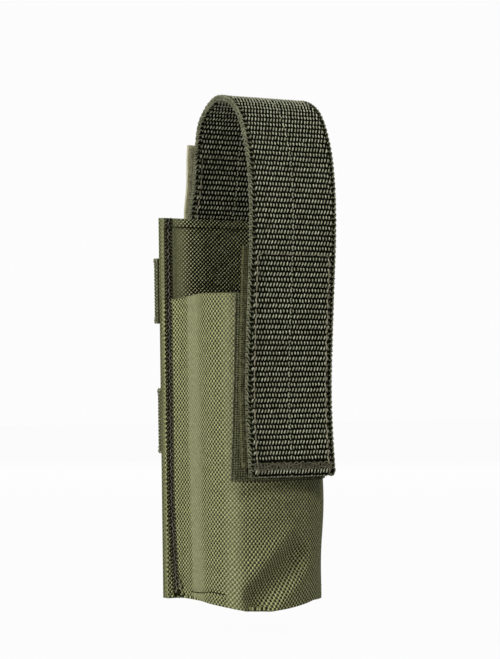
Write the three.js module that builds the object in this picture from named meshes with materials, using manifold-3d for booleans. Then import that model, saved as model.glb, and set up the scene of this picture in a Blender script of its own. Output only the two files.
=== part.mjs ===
// Flashlight pouch of woven nylon with an adjustable hook-and-loop flap strap and a snap attachment strap.
// Millimetres, +Z up. The front faces -Y and the wearer is towards +Y. The sizes below are laid out from the
// front face of the inner back panel (Y = 0) and the foot of the panel (Z = 0), and the whole pouch is then
// moved so that its origin is on the middle of the upper row's rear face, which lies against the carrier.
import * as THREE from "three";
import { mergeVertices } from "three/addons/utils/BufferGeometryUtils.js";
import Module from "manifold-3d";

const wasm = await Module();
wasm.setup();

// Cloth and seams
const CLOTH = 1.2; // a seamed wall of the woven nylon, with its coating and turnings
const SEAM_GAP = 0.3; // what two sewn layers keep between them
const TURNED_HEM = 2.4; // an edge turned in twice
const PANEL_HEIGHT = 148.0;
const PANEL_MARGIN = 5.5; // from the foot of the sleeve's slope out to the panel's edge
const SIDE_HEM_WIDTH = 6.2;
const TOP_HEM_WIDTH = 11.0;
const HEM_RAISE = 0.9; // how far a hem stands up from the panel it is turned on

// Pouch body
const MOUTH_DROP = 31.7; // from the top of the panel down to the mouth
const MOUTH_HEM_WIDTH = 11.5;
const BODY_DEPTH = 38.0; // from the back panel to the middle of the front
const SIDE_SEAM_WIDTH = 5.9; // from the panel's edge in to the side wall
const SEAM_FLANGE_WIDTH = 2.15; // the part of it that lies flat on the panel
const CROWN_RADIUS = 55.0; // the gentle bow of the front
const CROWN_HALF_WIDTH = 4.6; // the least that is left of the bow between its corners
const CORNER_RADIUS = 19.0; // where the front turns into the sides
const SIDE_STRAIGHT = 2.9; // from that corner back to where the side flares out to its seam
const FOOT_TUCK = 1.8; // how far the walls draw in at the foot
const FOOT_TUCK_HEIGHT = 6.0;
const FOOT_DIP = 2.6; // how far the front of the foot hangs below the panel
const FOOT_DIP_HEIGHT = 24.0;
const FOOT_DIP_HALF_WIDTH = 30.0;
const FOOT_DIP_OFFSET = 4.0; // the dip is lowest this far left of the middle
const FOOT_TAPER = 1.4; // how much shallower the front is at the foot
const FOOT_TAPER_HEIGHT = 44.0;

// Hook and loop tapes
const LOOP_TAPE = 1.0;
const HOOK_TAPE = 1.0;
const FRONT_LOOP_WIDTH = 45.0; // measured round the front
const FRONT_LOOP_HEIGHT = 69.5;
const SLEEVE_LOOP_OVERLAP = 0.45; // past each edge of the flap strap
const SLEEVE_LOOP_HEIGHT = 80.0;
const SLEEVE_LOOP_DROP = 2.0; // below the top of the panel
const FLAP_HOOK_LENGTH = 83.0;
const ARCH_HOOK_LENGTH = 28.4; // what shows above the sleeve
const TAIL_HOOK_LENGTH = 72.0; // what is inside the sleeve

// Flap strap
const FLAP_WIDTH = 38.1;
const FLAP_WEBBING = 2.2;
const TAIL_LENGTH = 76.0;
const ARCH_RISE = 46.0; // from the top of the panel to the top of the arch
const FLAP_BOW = 3.1; // how far the strap stands forward of its fastened place at the mouth
const FLAP_END_FLARE = 2.7; // how far its free end curls forward
const FLAP_DROP = 99.7; // from the top of the panel to the free end
const FLAP_FASTENED_DROP = 63.0; // where the hook tape bears on the loop tape
const PEEL_DROP = 8.0; // where the strap bends when it is peeled
const FLAP_END_FOLD = 5.0;
const STRAP_STEPS = 72;

// The arch's route as shares of its reach forward and its rise, from the sleeve to the bend above the mouth
const ARCH_ROUTE_SHARES = [
  [0.0, 0.0],
  [0.002, 0.06],
  [0.062, 0.28],
  [0.098, 0.565],
  [0.18, 0.835],
  [0.445, 1.0],
  [0.74, 0.9],
  [0.91, 0.61],
  [0.985, 0.26],
];

// Attachment rows and strap
const ROW_HEIGHT = 25.4;
const ROW_PITCH = 50.8;
const ROW_WEBBING = 1.6;
const UPPER_ROW_DROP = 15.6; // from the top of the panel to the top of the upper row
const ROW_FOLD_RADIUS = 2.2;
const UPPER_ROW_INSET = 0.1; // from the panel's edge
const LOWER_ROW_INSET = 1.1;
const STRAP_WIDTH = 25.4;
const STRAP_WEBBING = 1.6;
const STRAP_STIFFENER = 0.8;
const STRAP_LINING = 0.7;
const STIFFENER_MARGIN = 2.6;
const STRAP_END_HEIGHT = 6.0;
const STRAP_HINGE_RISE = 1.6; // above the upper row
const STRAP_SEWN_DROP = 3.0;
const STRAP_SLOPE_HEIGHT = 3.4;
const STRAP_TIP_RADIUS = 5.0;

// Sleeve of the outer back panel
const SLEEVE_ROOM = 2.35; // beside the flap strap
const SLEEVE_SLOPE = 3.2;
const SLEEVE_FOOT_HEM = 2.6;

// Snap fastener
const SNAP_HEIGHT = 18.0; // above the foot of the panel
const STUD_FLANGE = 0.6;
const STUD_FLANGE_RADIUS = 5.4;
const STUD_HEIGHT = 2.8;
const STUD_NECK_RADIUS = 2.8;
const STUD_HEAD_RADIUS = 3.3;
const STUD_LIP = 0.5;
const POST_RADIUS = 1.9;
const POST_FLANGE = 0.5;
const POST_FLANGE_RADIUS = 5.0;
const SNAP_CLEARANCE = 0.35;
const SOCKET_RADIUS = 6.0;
const SOCKET_WEB = 0.8;
const SOCKET_EDGE = 0.5;
const CAP_RADIUS = 7.4;
const CAP_RIM = 0.5;
const CAP_DOME = 1.1;
const SHANK_RADIUS = 1.8;
const ROUND_STEPS = 32;

// One overrun serves every cut
const OVERRUN = 1.0;

// Places through the back, from the inner panel's front face to the rear
const innerRear = CLOTH;
const tailFront = innerRear + SEAM_GAP;
const tailRear = tailFront + FLAP_WEBBING;
const tailHookRear = tailRear + SEAM_GAP + HOOK_TAPE;
const liningFront = tailHookRear + SEAM_GAP;
const liningRear = liningFront + LOOP_TAPE;
const sleeveFront = liningRear + SEAM_GAP;
const backFace = sleeveFront + CLOTH;
const outerEdgeFront = innerRear + SEAM_GAP;
const outerEdgeRear = outerEdgeFront + TURNED_HEM;
const rowFront = backFace + SEAM_GAP;
const rowRear = rowFront + ROW_WEBBING;

// Places through the snap fastener
const studFront = backFace + SEAM_GAP;
const studTop = studFront + STUD_HEIGHT;
const socketFront = studFront + STUD_FLANGE + SEAM_GAP;
const socketFloor = studTop + SEAM_GAP;
const socketRear = socketFloor + SOCKET_WEB;
const strapLiningFront = socketRear + SEAM_GAP;
const strapLiningRear = strapLiningFront + STRAP_LINING;
const strapStiffenerFront = strapLiningRear + SEAM_GAP;
const strapStiffenerRear = strapStiffenerFront + STRAP_STIFFENER;
const strapWebbingFront = strapStiffenerRear + SEAM_GAP;
const strapRear = strapWebbingFront + STRAP_WEBBING;
const capFront = strapRear + SEAM_GAP;

// Places up the pouch
const mouthHeight = PANEL_HEIGHT - MOUTH_DROP;
const upperRowTop = PANEL_HEIGHT - UPPER_ROW_DROP;
const upperRowFoot = upperRowTop - ROW_HEIGHT;
const lowerRowFoot = upperRowFoot - ROW_PITCH;
const strapHingeHeight = upperRowTop + STRAP_HINGE_RISE;
const originHeight = upperRowFoot + ROW_HEIGHT / 2;

// Places across the pouch
const sleeveHalfWidth = FLAP_WIDTH / 2 + SLEEVE_ROOM + CLOTH;
const panelEdge = sleeveHalfWidth + SLEEVE_SLOPE + PANEL_MARGIN;
const bodyHalfWidth = panelEdge - SIDE_SEAM_WIDTH;
const cornerRadius = Math.min(CORNER_RADIUS, bodyHalfWidth - CROWN_HALF_WIDTH);

// Finishes
function finish(colour, roughness, metalness = 0) {
  return new THREE.MeshStandardMaterial({ color: colour, roughness, metalness });
}

const olive_cloth = () => finish(0x6b6a48, 0.85);
const olive_webbing = () => finish(0x7c7b5c, 0.8);
const hook_pile = () => finish(0x8a8462, 0.9);
const loop_pile = () => finish(0x4f4e36, 0.95);
const black_plastic = () => finish(0x1c1c1a, 0.55);
const blackened_brass = () => finish(0x24231f, 0.4, 0.8);

// A closed solid from rings of points that all hold the same number of points, counter-clockwise from above.
function loft(rings) {
  const count = rings[0].length;
  const positions = rings.flatMap((ring) => ring.flatMap((p) => [p.x, p.y, p.z]));
  const index = [];
  for (let r = 0; r + 1 < rings.length; r++)
    for (let i = 0; i < count; i++) {
      const j = (i + 1) % count;
      const [a, b, c, d] = [r * count + i, r * count + j, (r + 1) * count + j, (r + 1) * count + i];
      index.push(a, b, c, a, c, d);
    }
  const last = (rings.length - 1) * count;
  const cap = (ring) => THREE.ShapeUtils.triangulateShape(ring.map((p) => new THREE.Vector2(p.x, p.y)), []);
  for (const [a, b, c] of cap(rings[0])) index.push(a, c, b);
  for (const [a, b, c] of cap(rings.at(-1))) index.push(last + a, last + b, last + c);
  const geometry = new THREE.BufferGeometry();
  geometry.setAttribute("position", new THREE.Float32BufferAttribute(positions, 3));
  geometry.setIndex(index);
  return geometry;
}

// A plan outline pushed up from one height to another.
function upright(outline, low, high) {
  const geometry = new THREE.ExtrudeGeometry(new THREE.Shape(outline), {
    depth: high - low,
    bevelEnabled: false,
  });
  return geometry.translate(0, 0, low);
}

// A side outline of (Y, Z) points pushed across the pouch, centred on X = 0.
function across(outline, width) {
  const geometry = new THREE.ExtrudeGeometry(new THREE.Shape(outline), {
    depth: width,
    bevelEnabled: false,
  });
  const turn = new THREE.Matrix4().makeBasis(
    new THREE.Vector3(0, 1, 0),
    new THREE.Vector3(0, 0, 1),
    new THREE.Vector3(1, 0, 0),
  );
  return geometry.applyMatrix4(turn).translate(-width / 2, 0, 0);
}

// A face outline of (X, Z) points pushed back from one depth to another.
function facing(outline, front, rear) {
  const geometry = new THREE.ExtrudeGeometry(new THREE.Shape(outline), {
    depth: rear - front,
    bevelEnabled: false,
  });
  const turn = new THREE.Matrix4().makeBasis(
    new THREE.Vector3(1, 0, 0),
    new THREE.Vector3(0, 0, 1),
    new THREE.Vector3(0, -1, 0),
  );
  return geometry.applyMatrix4(turn).translate(0, rear, 0);
}

function block(x0, x1, y0, y1, z0, z1) {
  const geometry = new THREE.BoxGeometry(x1 - x0, y1 - y0, z1 - z0);
  return geometry.translate((x0 + x1) / 2, (y0 + y1) / 2, (z0 + z1) / 2);
}

// A turned piece about the snap's own axis, which runs along Y. The profile holds (radius, Y) pairs.
function turned(profile) {
  const points = profile.map(([radius, y]) => new THREE.Vector2(radius, y));
  return new THREE.LatheGeometry(points, ROUND_STEPS).translate(0, 0, SNAP_HEIGHT);
}

// Joins and cuts
function solidOf(geometry) {
  const bare = geometry.index ? geometry.clone() : geometry;
  bare.deleteAttribute("normal");
  bare.deleteAttribute("uv");
  const merged = mergeVertices(bare, 1e-4);
  return new wasm.Manifold(
    new wasm.Mesh({
      numProp: 3,
      vertProperties: merged.attributes.position.array,
      triVerts: new Uint32Array(merged.index.array),
    }),
  );
}

function geometryOf(solid) {
  const mesh = solid.getMesh();
  const geometry = new THREE.BufferGeometry();
  geometry.setAttribute("position", new THREE.BufferAttribute(mesh.vertProperties, 3));
  geometry.setIndex(new THREE.BufferAttribute(mesh.triVerts, 1));
  return geometry;
}

function joined(...geometries) {
  return geometryOf(geometries.map(solidOf).reduce((whole, piece) => whole.add(piece)));
}

function cut(geometry, ...tools) {
  return geometryOf(tools.map(solidOf).reduce((whole, tool) => whole.subtract(tool), solidOf(geometry)));
}

function snapHole(radius, front, rear) {
  const tool = new THREE.CylinderGeometry(radius, radius, rear - front + 2 * OVERRUN, ROUND_STEPS);
  return tool.translate(0, (front + rear) / 2, SNAP_HEIGHT);
}

// Points along a polyline with each inner corner rounded off.
function rounded(corners, radius, steps = 4) {
  const points = [corners[0]];
  for (let i = 1; i + 1 < corners.length; i++) {
    const [before, corner, after] = corners.slice(i - 1, i + 2);
    const inwards = before.clone().sub(corner).normalize();
    const outwards = after.clone().sub(corner).normalize();
    const bend = new THREE.QuadraticBezierCurve(
      corner.clone().addScaledVector(inwards, radius),
      corner,
      corner.clone().addScaledVector(outwards, radius),
    );
    points.push(...bend.getPoints(steps));
  }
  points.push(corners.at(-1));
  return points;
}

// The closed outline of a strip that runs along a line, between two distances to the left of it.
function strip(line, right, left) {
  const side = (distance) =>
    line.map((point, i) => {
      const before = line[Math.max(i - 1, 0)];
      const after = line[Math.min(i + 1, line.length - 1)];
      const a = point.clone().sub(before).normalize();
      const b = after.clone().sub(point).normalize();
      const along = a.add(b).normalize();
      const bend = i > 0 && i + 1 < line.length ? along.dot(b) : 1;
      return new THREE.Vector2(-along.y, along.x).multiplyScalar(distance / bend).add(point);
    });
  return [...side(right), ...side(left).reverse()];
}

// Pouch body

// The centres of the front's bow and of its right corner, and the angle at which the two meet.
function frontArcs(tuck = 0, taper = 0) {
  const cornerX = bodyHalfWidth - tuck - cornerRadius;
  const crownY = CROWN_RADIUS - (BODY_DEPTH - taper - tuck);
  const between = CROWN_RADIUS - cornerRadius;
  const cornerY = crownY - Math.sqrt(between ** 2 - cornerX ** 2);
  return { cornerX, cornerY, crownY, meet: Math.asin(cornerX / between) };
}

// Where the side begins to flare, and the radius that brings the flare to its flange.
const flangeRear = -SEAM_GAP;
const flangeFront = flangeRear - CLOTH;
const flareDepth = -frontArcs().cornerY - SIDE_STRAIGHT;
const flareReach = SIDE_SEAM_WIDTH - SEAM_FLANGE_WIDTH;
const flareRadius = (flareReach ** 2 + (flareDepth + flangeFront) ** 2) / (2 * flareReach);

// Half of the body's plan outline, from the tip of the seam flange to the middle of the front. The inset is
// how far inside the outer face it lies, the tuck draws the walls in, and the taper makes it shallower.
function halfBody(inset, flangeY, tuck = 0, taper = 0) {
  const { cornerX, cornerY, crownY, meet } = frontArcs(tuck, taper);
  const flare = flareRadius + inset;
  const flareX = bodyHalfWidth - tuck + flareRadius;
  const flareEnd = Math.asin((flangeY + flareDepth) / flare);
  const points = [new THREE.Vector2(panelEdge, flangeY)];
  for (let i = 0; i <= 6; i++) {
    const angle = flareEnd * (1 - i / 6);
    points.push(new THREE.Vector2(flareX - flare * Math.cos(angle), flare * Math.sin(angle) - flareDepth));
  }
  for (let i = 0; i <= 8; i++) {
    const angle = Math.PI / 2 + (meet - Math.PI / 2) * (i / 8);
    const radius = cornerRadius - inset;
    points.push(new THREE.Vector2(cornerX + radius * Math.sin(angle), cornerY - radius * Math.cos(angle)));
  }
  for (let i = 1; i <= 4; i++) {
    const angle = meet * (1 - i / 4);
    const radius = CROWN_RADIUS - inset;
    points.push(new THREE.Vector2(radius * Math.sin(angle), crownY - radius * Math.cos(angle)));
  }
  return points;
}

// Both halves, from the left flange round the front to the right one.
function wholeBody(...shape) {
  const right = halfBody(...shape);
  const left = right.slice(0, -1).map((p) => new THREE.Vector2(-p.x, p.y));
  return [...left, ...right.reverse()];
}

// How far a point of the body hangs below its level, which fades out up the walls.
function footDip(x, y, height) {
  const sideways = (x + FOOT_DIP_OFFSET) / FOOT_DIP_HALF_WIDTH;
  const upwards = Math.max(0, 1 - height / FOOT_DIP_HEIGHT);
  const forwards = Math.min(1, Math.max(0, -y / BODY_DEPTH));
  return FOOT_DIP * Math.max(0, 1 - sideways ** 2) * upwards * forwards;
}

function footTuck(height) {
  return FOOT_TUCK * Math.max(0, 1 - height / FOOT_TUCK_HEIGHT) ** 2;
}

function footTaper(height) {
  return FOOT_TAPER * Math.max(0, 1 - height / FOOT_TAPER_HEIGHT);
}

function bodyRing(height, wall) {
  const shape = [footTuck(height), footTaper(height)];
  const outer = wholeBody(0, flangeFront, ...shape);
  const inner = wholeBody(wall, flangeRear, ...shape);
  return [...outer, ...inner.reverse()].map(
    (p) => new THREE.Vector3(p.x, p.y, height - footDip(p.x, p.y, height)),
  );
}

function pouchBody() {
  const hemFoot = mouthHeight - MOUTH_HEM_WIDTH;
  const footHeights = [0, 0.25, 0.5, 1].map((share) => share * FOOT_TUCK_HEIGHT);
  const heights = [...footHeights, FOOT_DIP_HEIGHT, FOOT_TAPER_HEIGHT, hemFoot];
  const rings = heights.map((height) => bodyRing(height, CLOTH));
  rings.push(bodyRing(hemFoot + SEAM_GAP, CLOTH + HEM_RAISE));
  rings.push(bodyRing(mouthHeight, CLOTH + HEM_RAISE));
  return loft(rings);
}

function bottomPanel() {
  const outline = wholeBody(CLOTH + SEAM_GAP, flangeRear, FOOT_TUCK, FOOT_TAPER);
  // The flanges are the body's own: the foot closes between the side walls.
  const inside = outline.filter((p) => Math.abs(p.x) < panelEdge);
  const ring = (height) =>
    inside.map((p) => new THREE.Vector3(p.x, p.y, height - footDip(p.x, p.y, 0)));
  return loft([ring(SEAM_GAP), ring(SEAM_GAP + CLOTH)]);
}

// A point on the body's front at a distance round it from the middle, and so far out from its face.
function onFront(around, out) {
  const { cornerX, cornerY, crownY, meet } = frontArcs();
  const distance = Math.abs(around);
  const past = Math.max(0, distance - meet * CROWN_RADIUS);
  const angle = past > 0 ? meet + past / cornerRadius : distance / CROWN_RADIUS;
  const radius = (past > 0 ? cornerRadius : CROWN_RADIUS) + out;
  const x = (past > 0 ? cornerX : 0) + radius * Math.sin(angle);
  const y = (past > 0 ? cornerY : crownY) - radius * Math.cos(angle);
  return new THREE.Vector2(Math.sign(around) * x, y);
}

function frontLoopTape() {
  const steps = 20;
  const face = (out) =>
    Array.from({ length: steps + 1 }, (_, i) => onFront(FRONT_LOOP_WIDTH * (i / steps - 1 / 2), out));
  const outline = [...face(SEAM_GAP + LOOP_TAPE), ...face(SEAM_GAP).reverse()];
  return upright(outline, mouthHeight - FRONT_LOOP_HEIGHT, mouthHeight);
}

// Back panel

function backPanelInner() {
  const edge = panelEdge;
  const hemFoot = mouthHeight + SEAM_GAP;
  return joined(
    block(-edge, edge, 0, innerRear, 0, PANEL_HEIGHT),
    block(-edge, SIDE_HEM_WIDTH - edge, -HEM_RAISE, CLOTH / 2, hemFoot, PANEL_HEIGHT),
    block(edge - SIDE_HEM_WIDTH, edge, -HEM_RAISE, CLOTH / 2, hemFoot, PANEL_HEIGHT),
    block(-edge, edge, -HEM_RAISE / 2, CLOTH / 2, PANEL_HEIGHT - TOP_HEM_WIDTH, PANEL_HEIGHT),
  );
}

// The outer layer stands off between its two side seams, which leaves a sleeve open at the top.
function backPanelOuter() {
  const edge = panelEdge;
  const front = [
    [-edge, outerEdgeFront],
    [-sleeveHalfWidth - SLEEVE_SLOPE + CLOTH, outerEdgeFront],
    [-sleeveHalfWidth + CLOTH, sleeveFront],
    [sleeveHalfWidth - CLOTH, sleeveFront],
    [sleeveHalfWidth + SLEEVE_SLOPE - CLOTH, outerEdgeFront],
    [edge, outerEdgeFront],
  ];
  const rear = [
    [edge, outerEdgeRear],
    [sleeveHalfWidth + SLEEVE_SLOPE, outerEdgeRear],
    [sleeveHalfWidth, backFace],
    [-sleeveHalfWidth, backFace],
    [-sleeveHalfWidth - SLEEVE_SLOPE, outerEdgeRear],
    [-edge, outerEdgeRear],
  ];
  const line = (corners) => rounded(corners.map(([x, y]) => new THREE.Vector2(x, y)), CLOTH / 2, 2);
  const sleeve = upright([...line(front), ...line(rear)], 0, PANEL_HEIGHT);
  const foot = block(
    -sleeveHalfWidth + CLOTH,
    sleeveHalfWidth - CLOTH,
    outerEdgeFront,
    sleeveFront + CLOTH / 2,
    0,
    SLEEVE_FOOT_HEM,
  );
  return cut(joined(sleeve, foot), snapHole(POST_RADIUS + SEAM_GAP, sleeveFront, backFace));
}

function sleeveLoopLining() {
  const top = PANEL_HEIGHT - SLEEVE_LOOP_DROP;
  const half = FLAP_WIDTH / 2 + SLEEVE_LOOP_OVERLAP;
  return block(-half, half, liningFront, liningRear, top - SLEEVE_LOOP_HEIGHT, top);
}

// A row of webbing across the back, its ends turned forward into the side seams.
function attachmentRow(halfWidth, foot) {
  const middle = rowFront + ROW_WEBBING / 2;
  const leg = halfWidth - ROW_WEBBING / 2;
  const corners = [
    new THREE.Vector2(leg, outerEdgeRear + SEAM_GAP),
    new THREE.Vector2(leg, middle),
    new THREE.Vector2(-leg, middle),
    new THREE.Vector2(-leg, outerEdgeRear + SEAM_GAP),
  ];
  const line = rounded(corners, ROW_FOLD_RADIUS);
  return upright(strip(line, -ROW_WEBBING / 2, ROW_WEBBING / 2), foot, foot + ROW_HEIGHT);
}

// Flap strap

// The middle of the webbing's thickness from the sleeve over the arch and down the front, as (Y, Z) points.
function flapRoute() {
  const half = FLAP_WEBBING / 2;
  const fastened =
    -(BODY_DEPTH + SEAM_GAP + LOOP_TAPE + SEAM_GAP + HOOK_TAPE + SEAM_GAP + FLAP_WEBBING) + half;
  const sleeve = tailFront + half;
  const reach = sleeve - (fastened - FLAP_BOW);
  const arch = ARCH_ROUTE_SHARES.map(
    ([forward, up]) =>
      new THREE.Vector2(sleeve - forward * reach, PANEL_HEIGHT + SEAM_GAP + up * (ARCH_RISE - half)),
  );
  const peel = new THREE.Vector2(fastened - FLAP_BOW, PANEL_HEIGHT - PEEL_DROP);
  const fastenedPlace = new THREE.Vector2(fastened, PANEL_HEIGHT - FLAP_FASTENED_DROP);
  const mouth = new THREE.Vector2(fastened - FLAP_BOW / 2, (peel.y + fastenedPlace.y) / 2 + FLAP_BOW);
  const end = new THREE.Vector2(fastened - FLAP_END_FLARE, PANEL_HEIGHT - FLAP_DROP);
  const lower = new THREE.Vector2(fastened - FLAP_END_FLARE / 4, (fastenedPlace.y + end.y) / 2);
  const curve = new THREE.SplineCurve([...arch, peel, mouth, fastenedPlace, lower, end]);
  const points = curve.getSpacedPoints(STRAP_STEPS);
  // The two bends of the strap are at the sleeve and at the peel height on the way down.
  const split = points.findIndex((p, i) => i > STRAP_STEPS / 3 && p.y < peel.y);
  return { points, split };
}

const flap = flapRoute();
const archLine = flap.points.slice(0, flap.split);
const frontLine = flap.points.slice(flap.split);

// The front starts a seam's gap below the arch, on its own line.
archLine.push(frontLine[0].clone().lerp(archLine.at(-1), 1 / 2));
frontLine.unshift(archLine.at(-1).clone().add(new THREE.Vector2(0, -SEAM_GAP)));

function below(line, height) {
  return line.filter((p) => p.y <= height);
}

function flapTailWebbing() {
  return block(
    -FLAP_WIDTH / 2,
    FLAP_WIDTH / 2,
    tailFront,
    tailRear,
    PANEL_HEIGHT - TAIL_LENGTH,
    PANEL_HEIGHT,
  );
}

function tailHookTape() {
  return block(
    -FLAP_WIDTH / 2,
    FLAP_WIDTH / 2,
    tailRear + SEAM_GAP,
    tailHookRear,
    PANEL_HEIGHT - TAIL_HOOK_LENGTH,
    PANEL_HEIGHT,
  );
}

// The line runs up from the sleeve and forward, so the rear and outer face is to its right.
function flapArchWebbing() {
  return across(strip(archLine, FLAP_WEBBING / 2, -FLAP_WEBBING / 2).reverse(), FLAP_WIDTH);
}

function archHookTape() {
  const riser = archLine.slice(0, Math.ceil(archLine.length / 2));
  const line = below(riser, PANEL_HEIGHT + ARCH_HOOK_LENGTH);
  const face = -FLAP_WEBBING / 2 - SEAM_GAP;
  return across(strip(line, face, face - HOOK_TAPE).reverse(), FLAP_WIDTH);
}

// The free end is turned in and sewn down, so it is twice as thick.
function flapFrontWebbing() {
  const outline = strip(frontLine, FLAP_WEBBING / 2, -FLAP_WEBBING / 2).reverse();
  const end = PANEL_HEIGHT - FLAP_DROP;
  const fold = below(frontLine, end + FLAP_END_FOLD);
  const foldOutline = strip(fold, (FLAP_WEBBING * 3) / 2, 0).reverse();
  return joined(across(outline, FLAP_WIDTH), across(foldOutline, FLAP_WIDTH));
}

function flapHookTape() {
  const foot = PANEL_HEIGHT - FLAP_DROP + FLAP_END_FOLD + SEAM_GAP + FLAP_WEBBING;
  const line = below(frontLine, foot + FLAP_HOOK_LENGTH).filter((p) => p.y >= foot);
  const face = FLAP_WEBBING / 2 + SEAM_GAP;
  return across(strip(line, face + HOOK_TAPE, face).reverse(), FLAP_WIDTH);
}

// Attachment strap

// The face outline of the strap, with rounded tips.
function strapOutline(margin) {
  const half = STRAP_WIDTH / 2 - margin;
  const foot = STRAP_END_HEIGHT + margin;
  const corners = [
    new THREE.Vector2(-half, strapHingeHeight),
    new THREE.Vector2(-half, foot),
    new THREE.Vector2(half, foot),
    new THREE.Vector2(half, strapHingeHeight),
  ];
  return rounded(corners, STRAP_TIP_RADIUS - margin);
}

function strapPly(front, rear, margin) {
  return cut(
    facing(strapOutline(margin), front, rear),
    snapHole(SHANK_RADIUS + SEAM_GAP, front, rear),
  );
}

// The top of the strap slopes in from the plies to the panel, where it is sewn down.
function strapSewnEnd() {
  const foot = strapHingeHeight + SEAM_GAP;
  const slopeTop = foot + STRAP_SLOPE_HEIGHT;
  const thickness = strapRear - strapLiningFront;
  const sewnFront = backFace + SEAM_GAP;
  const outline = [
    [strapLiningFront, foot],
    [strapRear, foot],
    [sewnFront + thickness, slopeTop],
    [sewnFront + thickness, PANEL_HEIGHT - STRAP_SEWN_DROP],
    [sewnFront, PANEL_HEIGHT - STRAP_SEWN_DROP],
    [sewnFront, slopeTop],
  ].map(([y, z]) => new THREE.Vector2(y, z));
  return across(outline, STRAP_WIDTH);
}

// Snap fastener

function snapStud() {
  const bore = POST_RADIUS + SEAM_GAP;
  const flangeTop = studFront + STUD_FLANGE;
  return turned([
    [bore, studFront],
    [STUD_FLANGE_RADIUS, studFront],
    [STUD_FLANGE_RADIUS, flangeTop],
    [STUD_NECK_RADIUS, flangeTop],
    [STUD_NECK_RADIUS, flangeTop + STUD_LIP],
    [STUD_HEAD_RADIUS, studTop - 2 * STUD_LIP],
    [STUD_HEAD_RADIUS, studTop - STUD_LIP],
    [STUD_HEAD_RADIUS - STUD_LIP, studTop],
    [bore, studTop],
    [bore, studFront],
  ]);
}

function snapPost() {
  const flangeRear = sleeveFront - SEAM_GAP;
  return turned([
    [0, flangeRear - POST_FLANGE],
    [POST_FLANGE_RADIUS, flangeRear - POST_FLANGE],
    [POST_FLANGE_RADIUS, flangeRear],
    [POST_RADIUS, flangeRear],
    [POST_RADIUS, studTop],
    [0, studTop],
  ]);
}

function snapSocket() {
  const mouth = STUD_HEAD_RADIUS + SNAP_CLEARANCE;
  const bore = SHANK_RADIUS + SEAM_GAP;
  return turned([
    [mouth, socketFront],
    [SOCKET_RADIUS - SOCKET_EDGE, socketFront],
    [SOCKET_RADIUS, socketFront + SOCKET_EDGE],
    [SOCKET_RADIUS, socketRear],
    [bore, socketRear],
    [bore, socketFloor],
    [mouth, socketFloor],
    [mouth, socketFront],
  ]);
}

function snapCap() {
  const dome = new THREE.EllipseCurve(0, capFront + CAP_RIM, CAP_RADIUS, CAP_DOME, 0, Math.PI / 2);
  return turned([
    [0, socketFloor + SEAM_GAP],
    [SHANK_RADIUS, socketFloor + SEAM_GAP],
    [SHANK_RADIUS, capFront],
    [CAP_RADIUS, capFront],
    ...dome.getPoints(6).slice(0, -1).map((p) => [p.x, p.y]),
    [0, capFront + CAP_RIM + CAP_DOME],
  ]);
}

// Assembly

function node(name, geometry, material) {
  const mesh = new THREE.Mesh(geometry, material);
  mesh.name = name;
  return mesh;
}

function group(...children) {
  return new THREE.Group().add(...children);
}

const pouchGroup = group(
  node("back_panel_inner", backPanelInner(), olive_cloth()),
  node("back_panel_outer", backPanelOuter(), olive_cloth()),
  node("sleeve_loop_lining", sleeveLoopLining(), loop_pile()),
  node("pouch_body", pouchBody(), olive_cloth()),
  node("bottom_panel", bottomPanel(), olive_cloth()),
  node("front_loop_tape", frontLoopTape(), loop_pile()),
  node("pals_row_upper", attachmentRow(panelEdge - UPPER_ROW_INSET, upperRowFoot), olive_webbing()),
  node("pals_row_lower", attachmentRow(panelEdge - LOWER_ROW_INSET, lowerRowFoot), olive_webbing()),
  node("attachment_strap_sewn_end", strapSewnEnd(), olive_webbing()),
  node("snap_stud", snapStud(), blackened_brass()),
  node("snap_post", snapPost(), blackened_brass()),
);

const flapTailGroup = group(
  node("flap_tail_webbing", flapTailWebbing(), olive_webbing()),
  node("tail_hook_tape", tailHookTape(), hook_pile()),
);

const flapArchGroup = group(
  node("flap_arch_webbing", flapArchWebbing(), olive_webbing()),
  node("arch_hook_tape", archHookTape(), hook_pile()),
);

const flapFrontGroup = group(
  node("flap_front_webbing", flapFrontWebbing(), olive_webbing()),
  node("flap_hook_tape", flapHookTape(), hook_pile()),
);

const attachmentStrapGroup = group(
  node("attachment_strap_webbing", strapPly(strapWebbingFront, strapRear, 0), olive_webbing()),
  node(
    "attachment_strap_stiffener",
    strapPly(strapStiffenerFront, strapStiffenerRear, STIFFENER_MARGIN),
    black_plastic(),
  ),
  node("attachment_strap_lining", strapPly(strapLiningFront, strapLiningRear, 0), olive_cloth()),
  node("snap_cap", snapCap(), blackened_brass()),
  node("snap_socket", snapSocket(), blackened_brass()),
);

const pouch = group(pouchGroup, flapTailGroup, flapArchGroup, flapFrontGroup, attachmentStrapGroup);
pouch.position.set(0, -rowRear, -originHeight);

export default pouch;
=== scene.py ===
"""Looks of the olive flashlight pouch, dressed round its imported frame.

Sizes are millimetres in the pouch's own layout: X across, Y from the front face of the inner back
panel towards the wearer, and Z up from the foot of the panel. LAYOUT turns a finished mesh to
metres and moves it into the frame, once.
"""
import logging
import math
from bisect import bisect_right
from collections.abc import Callable, Iterable, Sequence
from dataclasses import dataclass
from enum import Enum
from functools import lru_cache

import bmesh
import bpy
import numpy as np
from bmesh.types import BMEdge, BMesh
from bpy.types import Material, Mesh, NodeSocket, Object, World
from mathutils import Matrix, Vector


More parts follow.
